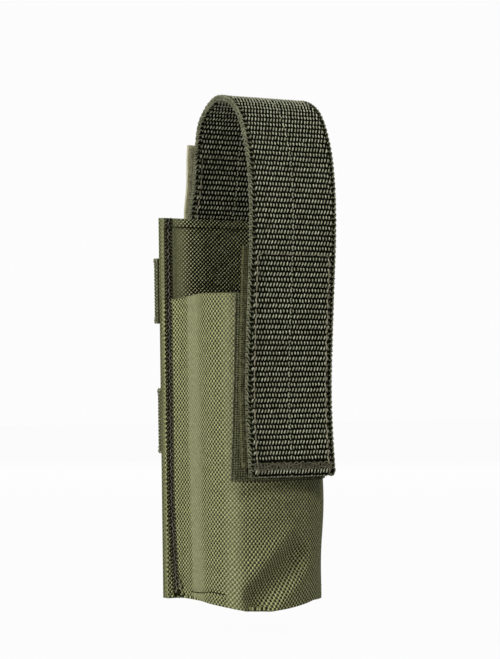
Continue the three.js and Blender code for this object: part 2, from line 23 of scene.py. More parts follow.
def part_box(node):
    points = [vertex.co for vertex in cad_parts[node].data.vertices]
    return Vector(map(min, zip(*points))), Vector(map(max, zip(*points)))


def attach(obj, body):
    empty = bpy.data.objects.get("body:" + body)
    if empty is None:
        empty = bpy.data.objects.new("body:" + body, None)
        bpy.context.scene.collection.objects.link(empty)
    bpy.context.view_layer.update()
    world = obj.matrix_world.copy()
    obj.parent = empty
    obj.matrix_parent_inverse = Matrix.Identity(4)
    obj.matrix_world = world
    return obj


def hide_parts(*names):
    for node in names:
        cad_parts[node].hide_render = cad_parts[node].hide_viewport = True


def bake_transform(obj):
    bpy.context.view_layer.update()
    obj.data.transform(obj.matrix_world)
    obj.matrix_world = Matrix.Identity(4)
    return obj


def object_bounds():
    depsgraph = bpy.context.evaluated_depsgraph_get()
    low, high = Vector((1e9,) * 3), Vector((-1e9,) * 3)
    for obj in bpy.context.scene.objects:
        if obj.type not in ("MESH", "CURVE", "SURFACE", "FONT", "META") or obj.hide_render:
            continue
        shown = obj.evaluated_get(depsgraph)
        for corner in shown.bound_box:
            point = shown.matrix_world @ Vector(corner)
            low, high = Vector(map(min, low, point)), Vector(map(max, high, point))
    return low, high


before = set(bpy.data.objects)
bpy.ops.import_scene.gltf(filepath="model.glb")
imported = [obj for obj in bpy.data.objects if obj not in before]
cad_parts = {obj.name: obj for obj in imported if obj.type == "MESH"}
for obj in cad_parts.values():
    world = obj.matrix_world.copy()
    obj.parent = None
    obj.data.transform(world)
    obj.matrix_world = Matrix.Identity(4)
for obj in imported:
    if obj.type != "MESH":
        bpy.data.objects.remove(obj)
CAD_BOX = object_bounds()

log = logging.getLogger("pouch")

MM = 0.001
CLOTH = 1.2
SEAM_GAP = 0.3
PANEL_HEIGHT = 148.0
MOUTH_HEIGHT = 116.3
PANEL_EDGE = 31.3
FLAP_WIDTH = 38.1
HANG_LEAN = 1.05
HANG_MIDDLE = 74.0
HANG_ENDS = (-4.0, 150.0)
UPWARD = Vector((0, 0, 1))
REARWARD = Vector((0, 1, 0))

inner_low, inner_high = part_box("back_panel_inner")
LAYOUT = Matrix.Translation((0.0, inner_high.y - CLOTH * MM, inner_low.z)) @ Matrix.Scale(MM, 4)

Colour = tuple[float, float, float]
Place = tuple[float, float, float]
Span = tuple[float, float]
Fold = Callable[[float, float], Place]
Bend = Callable[[np.ndarray], np.ndarray]


class Body(Enum):
    """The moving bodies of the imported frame."""

    POUCH = "pouch"
    TAIL = "flap_tail"
    ARCH = "flap_arch"
    FRONT = "flap_front"
    STRAP = "attachment_strap"


class Slot(Enum):
    """The record's material slots."""

    CLOTH = "olive_cloth"
    FLAP = "flap_webbing"
    ROWS = "row_webbing"
    HOOK = "hook_tape"
    LOOP = "loop_tape"
    PLASTIC = "black_plastic"
    BRASS = "blackened_brass"


# Shader maths

class Value:
    """A socket of a node tree, on which Python's operators add Math nodes."""

    def __init__(self, tree: "Tree", socket: NodeSocket | None) -> None:
        """Holds a socket of a tree."""
        self.tree = tree
        self.socket = socket

    def math(self, operation: str, *others: "Value | float") -> "Value":
        """Adds one Math node that takes this value first."""
        inputs = dict(enumerate((self, *others)))
        return self.tree.node("ShaderNodeMath", {"operation": operation}, inputs)

    def __add__(self, other: "Value | float") -> "Value":
        """The sum."""
        return self.math("ADD", other)

    __radd__ = __add__

    def __mul__(self, other: "Value | float") -> "Value":
        """The product."""
        return self.math("MULTIPLY", other)

    __rmul__ = __mul__

    def __sub__(self, other: "Value | float") -> "Value":
        """The difference."""
        return self.math("SUBTRACT", other)

    def __rsub__(self, other: float) -> "Value":
        """The difference from a number."""
        return self * -1.0 + other

    def sine(self) -> "Value":
        """The sine, of radians."""
        return self.math("SINE")

    def size(self) -> "Value":
        """The value without its sign."""
        return self.math("ABSOLUTE")

    def larger(self, other: "Value | float") -> "Value":
        """The larger of two."""
        return self.math("MAXIMUM", other)

    def between(self, low: float, high: float) -> "Value":
        """A soft step from 0 at low to 1 at high."""
        settings = {"interpolation_type": "SMOOTHSTEP"}
        return self.tree.node("ShaderNodeMapRange", settings, {0: self, 1: low, 2: high})

    def beside(self, output: int | str) -> "Value":
        """Another output of the node that this value comes from."""
        return Value(self.tree, self.socket.node.outputs[output])


class Tree:
    """The node tree of a finish or of the surroundings."""

    def __init__(self, owner: Material | World) -> None:
        """Takes up the owner's node tree, emptied.

        Args:
            owner: the material or the world.
        """
        owner.use_nodes = True
        self.owner = owner
        self.nodes = owner.node_tree.nodes
        self.links = owner.node_tree.links
        self.nodes.clear()

    @classmethod
    def finish(cls, name: str) -> "Tree":
        """The empty tree of a new material."""
        return cls(bpy.data.materials.new(name))

    def node(self, kind: str, settings: dict, inputs: dict, output: int | str = 0) -> Value:
        """Adds a node, sets it, and fills its sockets.

        Args:
            kind: the node's type.
            settings: its own properties, set first.
            inputs: a value or a number for each socket, by name or place.
            output: the socket that is handed on.

        Returns:
            The chosen output.
        """
        made = self.nodes.new(kind)
        for key, setting in settings.items():
            setattr(made, key, setting)
        for key, given in inputs.items():
            if isinstance(given, Value):
                self.links.new(given.socket, made.inputs[key])
            else:
                made.inputs[key].default_value = given
        return Value(self, made.outputs[output] if len(made.outputs) else None)

    def lay(self) -> tuple[Value, Value]:
        """The place on the flat cloth in millimetres, across and along.

        Returns:
            The two values.
        """
        uv = self.node("ShaderNodeUVMap", {"uv_map": "lay"}, {})
        across = self.node("ShaderNodeSeparateXYZ", {}, {0: uv})
        return across, across.beside(1)

    def noise(self, scale: float, detail: float) -> Value:
        """A soft random value from 0 to 1 on Object coordinates.

        Args:
            scale: how many blotches there are to the metre.
            detail: how many finer layers it has.

        Returns:
            The noise.
        """
        place = self.node("ShaderNodeTexCoord", {}, {}, "Object")
        inputs = {"Vector": place, "Scale": scale, "Detail": detail}
        return self.node("ShaderNodeTexNoise", {}, inputs)

    def blend(self, share: Value | float, low: Value | Colour, high: Value | Colour) -> Value:
        """A colour between two, by a share from 0 to 1.

        Args:
            share: the share of high.
            low: the colour at 0.
            high: the colour at 1.

        Returns:
            The colour.
        """
        ends = [paint(c) if isinstance(c, tuple) else c for c in (low, high)]
        inputs = {0: share, 6: ends[0], 7: ends[1]}
        return self.node("ShaderNodeMix", {"data_type": "RGBA"}, inputs, 2)

    def surface(
        self, colour: Value, roughness: Value | float, height: Value, depth: float, **fixed: float
    ) -> Material:
        """Ends the tree in a Principled shader.

        Args:
            colour: what the surface is coloured.
            roughness: from 0, polished, to 1.
            height: what stands up from it, where 1 is the depth.
            depth: in millimetres.
            fixed: the sockets that are the same all over, with _ for a space.

        Returns:
            The finished material.
        """
        bump = {"Strength": 1.0, "Distance": depth * MM, "Height": height}
        inputs = {
            "Base Color": colour, "Roughness": roughness,
            "Normal": self.node("ShaderNodeBump", {}, bump),
        }
        inputs |= {key.replace("_", " "): number for key, number in fixed.items()}
        shader = self.node("ShaderNodeBsdfPrincipled", {}, inputs)
        self.node("ShaderNodeOutputMaterial", {}, {"Surface": shader})
        return self.owner


def paint(colour: Colour) -> tuple[float, float, float, float]:
    """A display colour of 0 to 255 as the linear light that a shader takes.

    Args:
        colour: the display colour.

    Returns:
        Red, green, blue and full alpha.
    """
    shares = [c / 255 for c in colour]
    light = [s / 12.92 if s <= 0.04045 else ((s + 0.055) / 1.055) ** 2.4 for s in shares]
    return (*light, 1.0)


def darker(colour: Colour, share: float) -> Colour:
    """A display colour at a share of its strength."""
    return tuple(c * share for c in colour)


# Finishes

@dataclass(frozen=True)
class PlainWeave:
    """Coated nylon cloth of thick yarns, one over and one under, with the weave's light and shade
    painted into its colour.

    Attributes:
        lit_warp: the colour of the yarns along where the weave is slack, a painted highlight on
            their crowns.
        shaded_weft: the colour of the yarns across and the gaps where it is slack, painted near
            black as their shade.
        drawn_lit_warp: the colour of the yarns along, where the cloth is drawn tight and faces the
            key lamp.
        drawn_lit_weft: the colour of the yarns across there, lighter as the painted shade is lifted.
        step: where the weft ends and the warp begins, on the weave's wave of -1 to 1.
        width: of the flat cloth, round from flange to flange.
        tight_lit: how far from each flange the cloth is drawn tight and faces the key lamp, where
            the weave's painted shade is lifted.
        spread: how much less far, at the foot.
        spread_height: the height at which that ends.
        gather: how fast the weave comes back between the tight part and the flange.
        ridge: where a rubbed line runs up the cloth, from the left flange, on which the weave's
            painted shade is eased as it turns from the key lamp.
    """

    name: str
    lit_warp: Colour = (180, 182, 128)
    shaded_weft: Colour = (18, 20, 5)
    drawn_lit_warp: Colour = (143, 145, 108)
    drawn_lit_weft: Colour = (118, 120, 87)
    worn: Colour = (150, 148, 112)
    across: float = 0.88
    along: float = 0.90
    step: Span = (-0.35, 0.42)
    relief: float = 0.32
    shine: float = 0.16
    width: float = 131.0
    tight_lit: float = 15.3
    spread: float = 2.1
    spread_height: float = 60.0
    gather: float = 3.0
    ridge: float = 41.5

    def slack_and_shaded(self, across: Value, along: Value) -> Value:
        """How much painted shade the weave shows, from 0 where the body draws it tight and the key
        lamp faces it, to 1.

        Args:
            across: the place round the cloth.
            along: the place up the cloth.

        Returns:
            The share.
        """
        inwards = (across - self.width / 2).size() * -1.0 + self.width / 2
        spread = along * (-self.spread / self.spread_height) + self.spread
        apart = inwards - spread.larger(0.0) - self.tight_lit
        # painted light: the weave's painted shade is lifted in a band near each flange, where the
        # wall is drawn tight and faces the key lamp
        slack_shade = (apart - 2.2).larger(apart * -self.gather).between(1.2, 9.0)
        # the rubbed line halves the painted shade: partly wear, partly painted light where the
        # surface turns from the key lamp and shows little shade
        rubbed_and_evenly_lit = (across - self.ridge).size().between(1.0, 7.0)
        return slack_shade * (rubbed_and_evenly_lit * 0.5 + 0.5)

    def material(self) -> Material:
        """The cloth's material.

        Returns:
            The material.
        """
        tree = Tree.finish(self.name)
        flat, y = tree.lay()
        drift = tree.noise(scale=70, detail=2) - 0.5
        x, y = flat + drift * 0.5, y + drift * 0.4
        over = (x * (math.pi / self.across)).sine() * (y * (math.pi / self.along)).sine()
        slack_shade = self.slack_and_shaded(flat, y)
        yarn = tree.noise(scale=900, detail=2)
        worn = tree.noise(scale=26, detail=4).between(0.45, 0.8)
        # painted light: the yarns along get a painted highlight, and the yarns across and the gaps a
        # painted near-black shade
        shaded_weft = tree.blend(slack_shade, self.drawn_lit_weft, self.shaded_weft)
        lit_warp = tree.blend(slack_shade, self.drawn_lit_warp, self.lit_warp)
        colour = tree.blend(over.between(*self.step), shaded_weft, lit_warp)
        colour = tree.blend(yarn.between(0.35, 0.75) * 0.25, colour, darker(self.shaded_weft, 0.9))
        colour = tree.blend(worn * 0.1, colour, self.worn)
        height = (over + over.size() * 0.35) * (slack_shade * 0.8 + 0.2) + yarn * 0.12
        roughness = 0.68 + yarn * 0.2
        return tree.surface(colour, roughness, height, self.relief, Specular_IOR_Level=self.shine)


@dataclass(frozen=True)
class Yarn:
    """Bundled nylon filaments, as a webbing's floats and a seam's thread show them."""

    name: str
    light: Colour
    dark: Colour
    filament: float = 0.13
    roughness: float = 0.48
    shine: float = 0.35
    relief: float = 0.03

    def material(self) -> Material:
        """The yarn's material, whose tone goes from copy to copy.

        Returns:
            The material.
        """
        tree = Tree.finish(self.name)
        x, _ = tree.lay()
        tone = tree.node("ShaderNodeAttribute", {"attribute_name": "tone"}, {}, "Fac")
        strands = (x * (2 * math.pi / self.filament)).sine() * 0.5 + 0.5
        fuzz = tree.noise(scale=2500, detail=2)
        colour = tree.blend(tone, self.dark, self.light)
        colour = tree.blend(strands * fuzz * 0.5, colour, darker(self.dark, 0.55))
        roughness = self.roughness + fuzz * 0.2
        height = strands + fuzz
        return tree.surface(colour, roughness, height, self.relief, Specular_IOR_Level=self.shine)


@dataclass(frozen=True)
class Core:
    """The ground of a webbing or tape between and under its floats, painted dark as their shade,
    save the root tape's, which is painted light as lit.
    """

    name: str
    colour: Colour
    rib: Colour
    pitch: float = 0.68
    relief: float = 0.12

    def material(self) -> Material:
        """The ground's material.

        Returns:
            The material.
        """
        tree = Tree.finish(self.name)
        x, y = tree.lay()
        across, along = ((place * (math.pi / self.pitch)).sine().size() for place in (x, y))
        ribs = across * along * 0.65 + tree.noise(scale=1300, detail=2) * 0.6
        colour = tree.blend(ribs.between(0.25, 0.85), self.colour, self.rib)
        return tree.surface(colour, 0.9, ribs, self.relief, Specular_IOR_Level=0.0)


@dataclass(frozen=True)
class Metal:
    """Brass blackened by its oxide, rubbed brighter in random patches."""

    name: str
    oxide: Colour = (34, 33, 31)
    brass: Colour = (92, 82, 62)

    def material(self) -> Material:
        """The metal's material.

        Returns:
            The material.
        """
        tree = Tree.finish(self.name)
        cloud = tree.noise(scale=420, detail=4)
        rub = cloud.between(0.5, 0.72)
        colour = tree.blend(rub * 0.6, self.oxide, self.brass)
        return tree.surface(colour, 0.5 - rub * 0.2, cloud, 0.02, Metallic=0.85)


@dataclass(frozen=True)
class Plastic:
    """Pressed black sheet with a fine leather grain."""

    name: str
    hollow: Colour = (20, 20, 19)
    grain: Colour = (38, 38, 36)

    def material(self) -> Material:
        """The sheet's material.

        Returns:
            The material.
        """
        tree = Tree.finish(self.name)
        grain = tree.noise(scale=1800, detail=2)
        colour = tree.blend(grain, self.hollow, self.grain)
        return tree.surface(colour, 0.5 + grain * 0.2, grain, 0.04)


# Mesh tools

def smooth(share: float) -> float:
    """A soft step from 0 to 1 as the share goes from 0 to 1."""
    share = min(1.0, max(0.0, share))
    return share * share * (3 - 2 * share)


def hump(place: float, width: float) -> float:
    """A soft hump that is 1 at the place 0 and fades over its width."""
    return math.exp(-((place / width) ** 2))


def spin(degrees: float, axis: str = "Z") -> Matrix:
    """A turn about an axis."""
    return Matrix.Rotation(math.radians(degrees), 4, axis)


def slid(points: np.ndarray, shift: np.ndarray | Sequence[float], axis: int = 0) -> np.ndarray:
    """Points moved along one axis, each by its own shift.

    Args:
        points: rows of (X, Y, Z).
        shift: one move, or one for each row.
        axis: the axis of the move.

    Returns:
        The moved copy.
    """
    points = points.copy()
    points[:, axis] += shift
    return points


def hung(points: np.ndarray) -> np.ndarray:
    """Lets the cloth hang about a millimetre out of true at its ends, as the real pouch does."""
    shift = (HANG_MIDDLE - np.clip(points[:, 2], *HANG_ENDS)) / HANG_MIDDLE
    return slid(points, HANG_LEAN * shift)


def run_lengths(points: np.ndarray) -> np.ndarray:
    """How far along a line of points each one lies."""
    steps = np.linalg.norm(np.diff(points, axis=0), axis=1)
    return np.concatenate(([0.0], np.cumsum(steps)))


def refined(points: Sequence[Span], steps: int) -> list[Span]:
    """A line of points with each of its spans cut into even steps.

    Args:
        points: the line.
        steps: the steps to a span.

    Returns:
        The finer line.
    """
    fine = []
    for a, b in zip(points, points[1:]):
        shares = np.linspace(0, 1, steps + 1)[:-1]
        fine += [tuple(np.array(a) + (np.array(b) - np.array(a)) * t) for t in shares]
    return [*fine, points[-1]]


def lay_by(work: BMesh, axes: str) -> None:
    """Writes each point's place on two axes into its UV map.

    Args:
        work: the bmesh, which gets the map.
        axes: the two axes, by their letters.
    """
    lay = work.loops.layers.uv.new("lay")
    for face in work.faces:
        for loop in face.loops:
            loop[lay].uv = getattr(loop.vert.co, axes)


def sheet(columns: int, rows: int, size: Span, fold: Fold) -> BMesh:
    """A flat cut of cloth folded into place, which keeps its flat lay as its UV map.

    Args:
        columns: faces across.
        rows: faces along.
        size: the flat size.
        fold: gives the place of each flat point.

    Returns:
        The folded sheet.
    """
    cloth = bmesh.new()
    bmesh.ops.create_grid(cloth, x_segments=columns, y_segments=rows, size=0.5)
    lay = cloth.loops.layers.uv.new("lay")
    flat = {v: ((v.co.x + 0.5) * size[0], (v.co.y + 0.5) * size[1]) for v in cloth.verts}
    for face in cloth.faces:
        for loop in face.loops:
            loop[lay].uv = flat[loop.vert]
    for vert, (x, y) in flat.items():
        vert.co = fold(x, y)
    return cloth


def keep(work: BMesh, name: str = "piece") -> Mesh:
    """Turns a finished bmesh into a mesh.

    Args:
        work: the bmesh, which is freed.
        name: the mesh's name.

    Returns:
        The mesh.
    """
    mesh = bpy.data.meshes.new(name)
    work.to_mesh(mesh)
    work.free()
    return mesh


def applied(mesh: Mesh, *steps: tuple[str, dict]) -> Mesh:
    """Runs modifiers on a mesh and keeps the result.

    Args:
        mesh: what they work on.
        steps: each modifier's type and settings.

    Returns:
        The new mesh.
    """
    holder = bpy.data.objects.new("work", mesh)
    bpy.context.scene.collection.objects.link(holder)
    for kind, settings in steps:
        modifier = holder.modifiers.new(kind.lower(), kind)
        for key, setting in settings.items():
            setattr(modifier, key, setting)
    graph = bpy.context.evaluated_depsgraph_get()
    result = bpy.data.meshes.new_from_object(holder.evaluated_get(graph), depsgraph=graph)
    bpy.data.objects.remove(holder)
    return result


def thickened(
    work: BMesh, thickness: float, rim: float = 0.0, offset: float = -1.0, even: bool = True
) -> Mesh:
    """Gives a sheet its thickness, and rounds its cut edges.

    Args:
        work: the folded sheet.
        thickness: of the cloth.
        rim: how much of each cut edge is rounded off.
        offset: -1 where the thickness lies behind the sheet's face, and 1 where in front.
        even: whether tight folds keep the full thickness.

    Returns:
        The cloth as a closed wall.
    """
    wall = {"thickness": thickness, "offset": offset, "use_even_offset": even}
    steps = [("SOLIDIFY", wall)]
    if rim:
        edge = {"width": rim, "segments": 2, "limit_method": "ANGLE", "angle_limit": 1.1}
        steps.append(("BEVEL", edge))
    return applied(keep(work), *steps)


def capsule(
    length: float, width: float, rise: float, lean: float = 0.0, whole: bool = False
) -> Mesh:
    """A short run of yarn that lies along Y, half sunk unless it is whole.

    Args:
        length: from tip to tip.
        width: across it.
        rise: how far it stands up.
        lean: how far its top leans to +X, in degrees.
        whole: whether it keeps its under side.

    Returns:
        The run, with its own lay.
    """
    work = bmesh.new()
    sides = 6 if whole else 8
    bmesh.ops.create_uvsphere(
        work, u_segments=sides, v_segments=4, radius=1.0, matrix=spin(90, "X")
    )
    if not whole:
        everything = work.verts[:] + work.edges[:] + work.faces[:]
        bmesh.ops.bisect_plane(
            work, geom=everything, plane_co=(0, 0, 0), plane_no=UPWARD, clear_inner=True
        )
    bmesh.ops.scale(work, vec=(width / 2, length / 2, rise), verts=work.verts)
    lay_by(work, "xy")
    bmesh.ops.rotate(work, matrix=spin(-lean).to_3x3(), verts=work.verts)
    return keep(work)


def copies(unit: Mesh, places: Sequence[Matrix], seed: int) -> Mesh:
    """Repeats a small mesh by an Array modifier and sends each copy to its place.

    Args:
        unit: what is repeated.
        places: where each copy goes.
        seed: for the tone that each copy gets.

    Returns:
        All copies as one mesh, with a point attribute of tone.
    """
    mesh = applied(unit, ("ARRAY", {"count": len(places), "use_relative_offset": False}))
    shape = np.empty(len(unit.vertices) * 3)
    unit.vertices.foreach_get("co", shape)
    turns = np.array([[row[:] for row in place] for place in places])
    points = np.einsum("pij,vj->pvi", turns[:, :3, :3], shape.reshape(-1, 3))
    points += turns[:, None, :3, 3]
    mesh.vertices.foreach_set("co", points.ravel())
    tone = mesh.attributes.new("tone", "FLOAT", "POINT")
    shades = np.random.default_rng(seed).random(len(places))
    tone.data.foreach_set("value", np.repeat(shades, len(unit.vertices)))
    return mesh


def sewn(places: Sequence[Matrix], seed: int, length: float, width: float, rise: float) -> Mesh:
    """Stitches of thread."""
    return copies(capsule(length, width, rise, whole=True), places, seed)


def merged(*meshes: Mesh) -> Mesh:
    """Puts meshes together into one.

    Args:
        meshes: the meshes to join.

    Returns:
        The one mesh.
    """
    work = bmesh.new()
    for mesh in meshes:
        work.from_mesh(mesh)
    return keep(work)


def moved(mesh: Mesh, bend: Bend) -> Mesh:
    """Sends every point of a mesh through a bend, and gives the same mesh back.

    Args:
        mesh: the mesh to bend.
        bend: gives new places for rows of points.

    Returns:
        The same mesh.
    """
    points = np.empty(len(mesh.vertices) * 3)
    mesh.vertices.foreach_get("co", points)
    mesh.vertices.foreach_set("co", bend(points.reshape(-1, 3)).ravel())
    mesh.update()
    return mesh


def slab(
    width: float, length: float, thickness: float, edge: float, steps: int, across: int = 1
) -> Mesh:
    """A flat strip along +Y from Y = 0, with rounded long edges, centred on X and Z.

    Args:
        width: across it.
        length: along it.
        thickness: through it.
        edge: the rounding of its long edges.
        steps: how many faces long it is.
        across: how many faces wide it is between its rounded edges.

    Returns:
        The strip.
    """
    work = bmesh.new()

    def spanning(axis: int, size: float) -> list[BMEdge]:
        """The edges that run over more than half of a size along an axis."""
        return [e for e in work.edges if abs((e.verts[0].co - e.verts[1].co)[axis]) > size / 2]

    bmesh.ops.create_cube(work, size=1.0)
    bmesh.ops.scale(work, vec=(width, length, thickness), verts=work.verts)
    bmesh.ops.translate(work, vec=(0, length / 2, 0), verts=work.verts)
    bmesh.ops.bevel(
        work, geom=spanning(1, length), offset=edge, segments=3, affect="EDGES", profile=0.5,
        material=-1, offset_type="OFFSET",
    )
    for axis, size, parts in ((1, length, steps), (0, width, across)):
        if parts > 1:
            bmesh.ops.subdivide_edges(
                work, edges=spanning(axis, size), cuts=parts - 1, use_grid_fill=True
            )
    lay_by(work, "xy")
    return keep(work)


def put(
    name: str, mesh: Mesh, finish: Material, body: Body | None, slot: Slot,
    nodes: Iterable[str] = (), crease: float = 45.0,
) -> Object:
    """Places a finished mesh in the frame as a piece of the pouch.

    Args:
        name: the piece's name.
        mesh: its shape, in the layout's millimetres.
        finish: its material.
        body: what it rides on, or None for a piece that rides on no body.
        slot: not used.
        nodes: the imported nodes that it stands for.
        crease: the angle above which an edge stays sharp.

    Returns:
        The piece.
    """
    mesh.transform(LAYOUT)
    mesh.materials.clear()
    mesh.materials.append(finish)
    mesh.polygons.foreach_set("use_smooth", [True] * len(mesh.polygons))
    mesh.set_sharp_from_angle(angle=math.radians(crease))
    mesh.name = name
    piece = bpy.data.objects.new(name, mesh)
    bpy.context.scene.collection.objects.link(piece)
    if body is not None:
        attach(piece, body.value)
    if nodes:
        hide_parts(*nodes)
    log.info("%s: %d faces", name, len(mesh.polygons))
    return piece


def stitch_run(
    path: Sequence[Vector], pitch: float, facing: Vector, swing: float = 0.0
) -> list[Matrix]:
    """Places for the stitches of a seam.

    Args:
        path: the line that the seam follows.
        pitch: from stitch to stitch.
        facing: which way the cloth faces.
        swing: how far each stitch turns to one side and the next to the other, in degrees.

    Returns:
        A place for each stitch, its length along the path.
    """
    lengths = [0.0]
    for a, b in zip(path, path[1:]):
        lengths.append(lengths[-1] + (b - a).length)
    count = max(1, int(lengths[-1] / pitch))
    places = []
    for i in range(count):
        at = (i + 0.5) * lengths[-1] / count
        j = min(bisect_right(lengths, at) - 1, len(path) - 2)
        share = (at - lengths[j]) / (lengths[j + 1] - lengths[j])
        along = (path[j + 1] - path[j]).normalized()
        side = along.cross(facing).normalized()
        turn = Matrix((side, along, side.cross(along))).transposed().to_4x4()
        spot = Matrix.Translation(path[j].lerp(path[j + 1], share))
        places.append(spot @ turn @ spin(swing * (-1) ** i))
    return places


def straight(start: Place, end: Place, count: int) -> list[Vector]:
    """Points at even steps from a start to an end."""
    return [Vector(start).lerp(Vector(end), t) for t in np.linspace(0, 1, count)]


def fibre(radius: float, thickness: float, sweep: float = 260.0) -> Mesh:
    """A small open ring of filament that stands on the XY plane.

    Args:
        radius: of the ring.
        thickness: half of the filament's own.
        sweep: how much of a turn it makes, in degrees.

    Returns:
        The ring.
    """
    work = bmesh.new()
    start = Matrix.Translation((radius, 0, 0)) @ spin(90, "X")
    made = bmesh.ops.create_circle(work, segments=3, radius=thickness, matrix=start)["verts"]
    outline = made + list({e for v in made for e in v.link_edges})
    bmesh.ops.rotate(work, verts=made, cent=(0, 0, 0), matrix=spin(45, "Y").to_3x3())
    bmesh.ops.spin(
        work, geom=outline, cent=(0, 0, 0), axis=-REARWARD, dvec=(0, 0, 0),
        angle=math.radians(sweep), steps=6,
    )
    lay_by(work, "xz")
    bmesh.ops.translate(work, vec=(0, 0, radius * 0.75), verts=work.verts)
    return keep(work)


@dataclass(frozen=True)
class Pile:
    """Fibres over a flat strip, each turned its own way.

    Attributes:
        pitch: from fibre to fibre.
        radius: of each fibre's ring.
        tilt: how far each leans, in radians, as a rule.
        filament: half of each filament's thickness.
    """

    pitch: float
    radius: float
    tilt: float
    filament: float = 0.1

    def over(self, rng: np.random.Generator, width: float, length: float) -> Mesh:
        """Covers a flat strip.

        Args:
            rng: the source of the fibres' turns.
            width: across the strip.
            length: along it.

        Returns:
            The fibres, flat.
        """
        stray, margin = self.pitch * 0.2, 0.3
        places = []
        for i in range(int(width / self.pitch)):
            for j in range(int(length / self.pitch)):
                x = (i + 0.5) * self.pitch - width / 2 + rng.normal(0, stray)
                y = (j + 0.5) * self.pitch + rng.normal(0, stray)
                turn = Matrix.Rotation(rng.random() * math.tau, 4, "Z")
                lean = Matrix.Rotation(rng.normal(0, self.tilt), 4, "X")
                scale = Matrix.Scale(0.75 + 0.5 * rng.random(), 4)
                spot = Matrix.Translation((x, min(max(y, margin), length - margin), 0))
                places.append(spot @ turn @ lean @ scale)
        return copies(fibre(self.radius, self.filament), places, int(rng.integers(1 << 30)))


# Weaves

@dataclass(frozen=True)
class Weave:
    """The floats of a webbing: a long slanted one, and a short upright one half a column on.

    Attributes:
        columns: how many long floats lie side by side.
        column: from one to the next across.
        cell: from one to the next along.
        long_float: the length, width and rise of a long float.
        short_float: the same of a short one.
        lean: of the long floats, in degrees.
        binding: how far the selvage's loops stand out from the middle.
        stray: how much the floats' places and turns vary.
    """

    columns: int
    column: float
    cell: float
    long_float: Place
    short_float: Place
    lean: float
    binding: float
    stray: float = 0.05

    def floats(self, spans: Sequence[Span], height: float, face: int, seed: int) -> Mesh:
        """Lays the floats over stretches of a flat strip.

        Args:
            spans: where each stretch starts and ends along the strip.
            height: of the ground that they lie on.
            face: 1 for the upper side and -1 for the lower.
            seed: for their tones and their strays.

        Returns:
            The floats, flat.
        """
        longs, shorts = [], []
        flip = Matrix.Diagonal((face, 1, face, 1))
        wobble = np.random.default_rng(seed)
        for start, end in spans:
            for row in range(int(round((end - start) / self.cell))):
                along = start + (row + 0.3) * self.cell
                for column in range(self.columns):
                    x = (column + 0.5 - self.columns / 2) * self.column
                    nudge = wobble.normal(0, self.stray, 4)
                    spot = Matrix.Translation((x + nudge[0], along + nudge[1], height * face))
                    spot = spot @ flip
                    central = 2 * column == self.columns - 1
                    slim = Matrix.Scale(0.8 if central else 1.0, 4)
                    longs.append(spot @ Matrix.Rotation(nudge[2], 4, "Z") @ slim)
                    if central:
                        shorts += [spot @ cord for cord in self.central_cord(row)]
                    if column + 1 < self.columns:
                        x += self.column / 2 + nudge[3]
                        y = along + self.cell / 2 + nudge[1]
                        shorts.append(Matrix.Translation((x, y, height * face)) @ flip)
        long_runs = copies(capsule(*self.long_float, -self.lean), longs, seed)
        short_runs = copies(capsule(*self.short_float, 3.0), shorts, seed + 1)
        return merged(long_runs, short_runs)

    def central_cord(self, row: int) -> list[Matrix]:
        """The three small turns of the cord that runs up the middle of one row of floats.

        Args:
            row: the row's number.

        Returns:
            A placement for each turn.
        """
        turns = []
        for third in (-1, 0, 1):
            spot = Matrix.Translation((-0.42, third * self.cell / 3, 0.12))
            turn = Matrix.Rotation(0.4 * (-1) ** (third + row), 4, "Z")
            turns.append(spot @ turn @ Matrix.Scale(0.6, 4))
        return turns

    def selvage(self, span: Span, edge: float, seed: int) -> Mesh:
        """Lays the looped yarns that bind both long edges.

        Args:
            span: where the binding starts and ends along the strip.
            edge: how far its middle is from the strip's own middle.
            seed: for its tones and strays.

        Returns:
            The bindings, flat.
        """
        chain, dots, ribs = [], [], []
        start, end = span
        step = self.cell / 4
        rng = np.random.default_rng(seed)
        upended = Matrix(((0, 0, 1, 0), (1, 0, 0, 0), (0, 1, 0, 0), (0, 0, 0, 1)))
        for side in (-1, 1):
            for i in range(int((end - start) / step)):
                along = start + (i + 0.5) * step
                odd = i % 2
                for face in (-1, 1):
                    stray, bend = rng.normal(0, 0.1), rng.normal(0, 0.22)
                    x, out = edge - 0.1 - 0.4 * odd, self.binding + 0.04
                    spot = Matrix.Translation((side * x, along + stray, face * out))
                    turn = math.radians(62 if odd else 28) * side + bend
                    roll = spin(20 * side * face, "Y")
                    chain.append(spot @ roll @ Matrix.Rotation(turn, 4, "Z"))
                    if odd:
                        near = (side * (edge - 1.7), along - stray, face * self.binding)
                        turn = Matrix.Rotation(0.4 * side + bend, 4, "Z")
                        dots.append(Matrix.Translation(near) @ turn)
                spot = Matrix.Translation((side * (edge + 0.2), along, 0.0))
                ribs.append(spot @ spin(18 * (-1) ** i, "X") @ upended)
        return merged(
            sewn(chain, seed, length=1.9, width=0.54, rise=0.36),
            sewn(dots, seed + 1, length=1.2, width=0.5, rise=0.4),
            sewn(ribs, seed + 2, length=2 * self.binding + 0.5, width=0.62, rise=0.26),
        )


FLAP_WEAVE = Weave(
    columns=25, column=1.36, cell=3.98, long_float=(1.66, 0.58, 0.46),
    short_float=(1.34, 0.58, 0.44), lean=21.0, binding=0.72,
)
ROW_WEAVE = Weave(
    columns=18, column=1.24, cell=3.0, long_float=(1.6, 0.62, 0.36),
    short_float=(1.15, 0.62, 0.34), lean=20.0, binding=0.5,
)
STRAP_WEAVE = Weave(
    columns=18, column=1.25, cell=3.1, long_float=(1.65, 0.62, 0.36),
    short_float=(1.2, 0.62, 0.34), lean=20.0, binding=0.5,
)


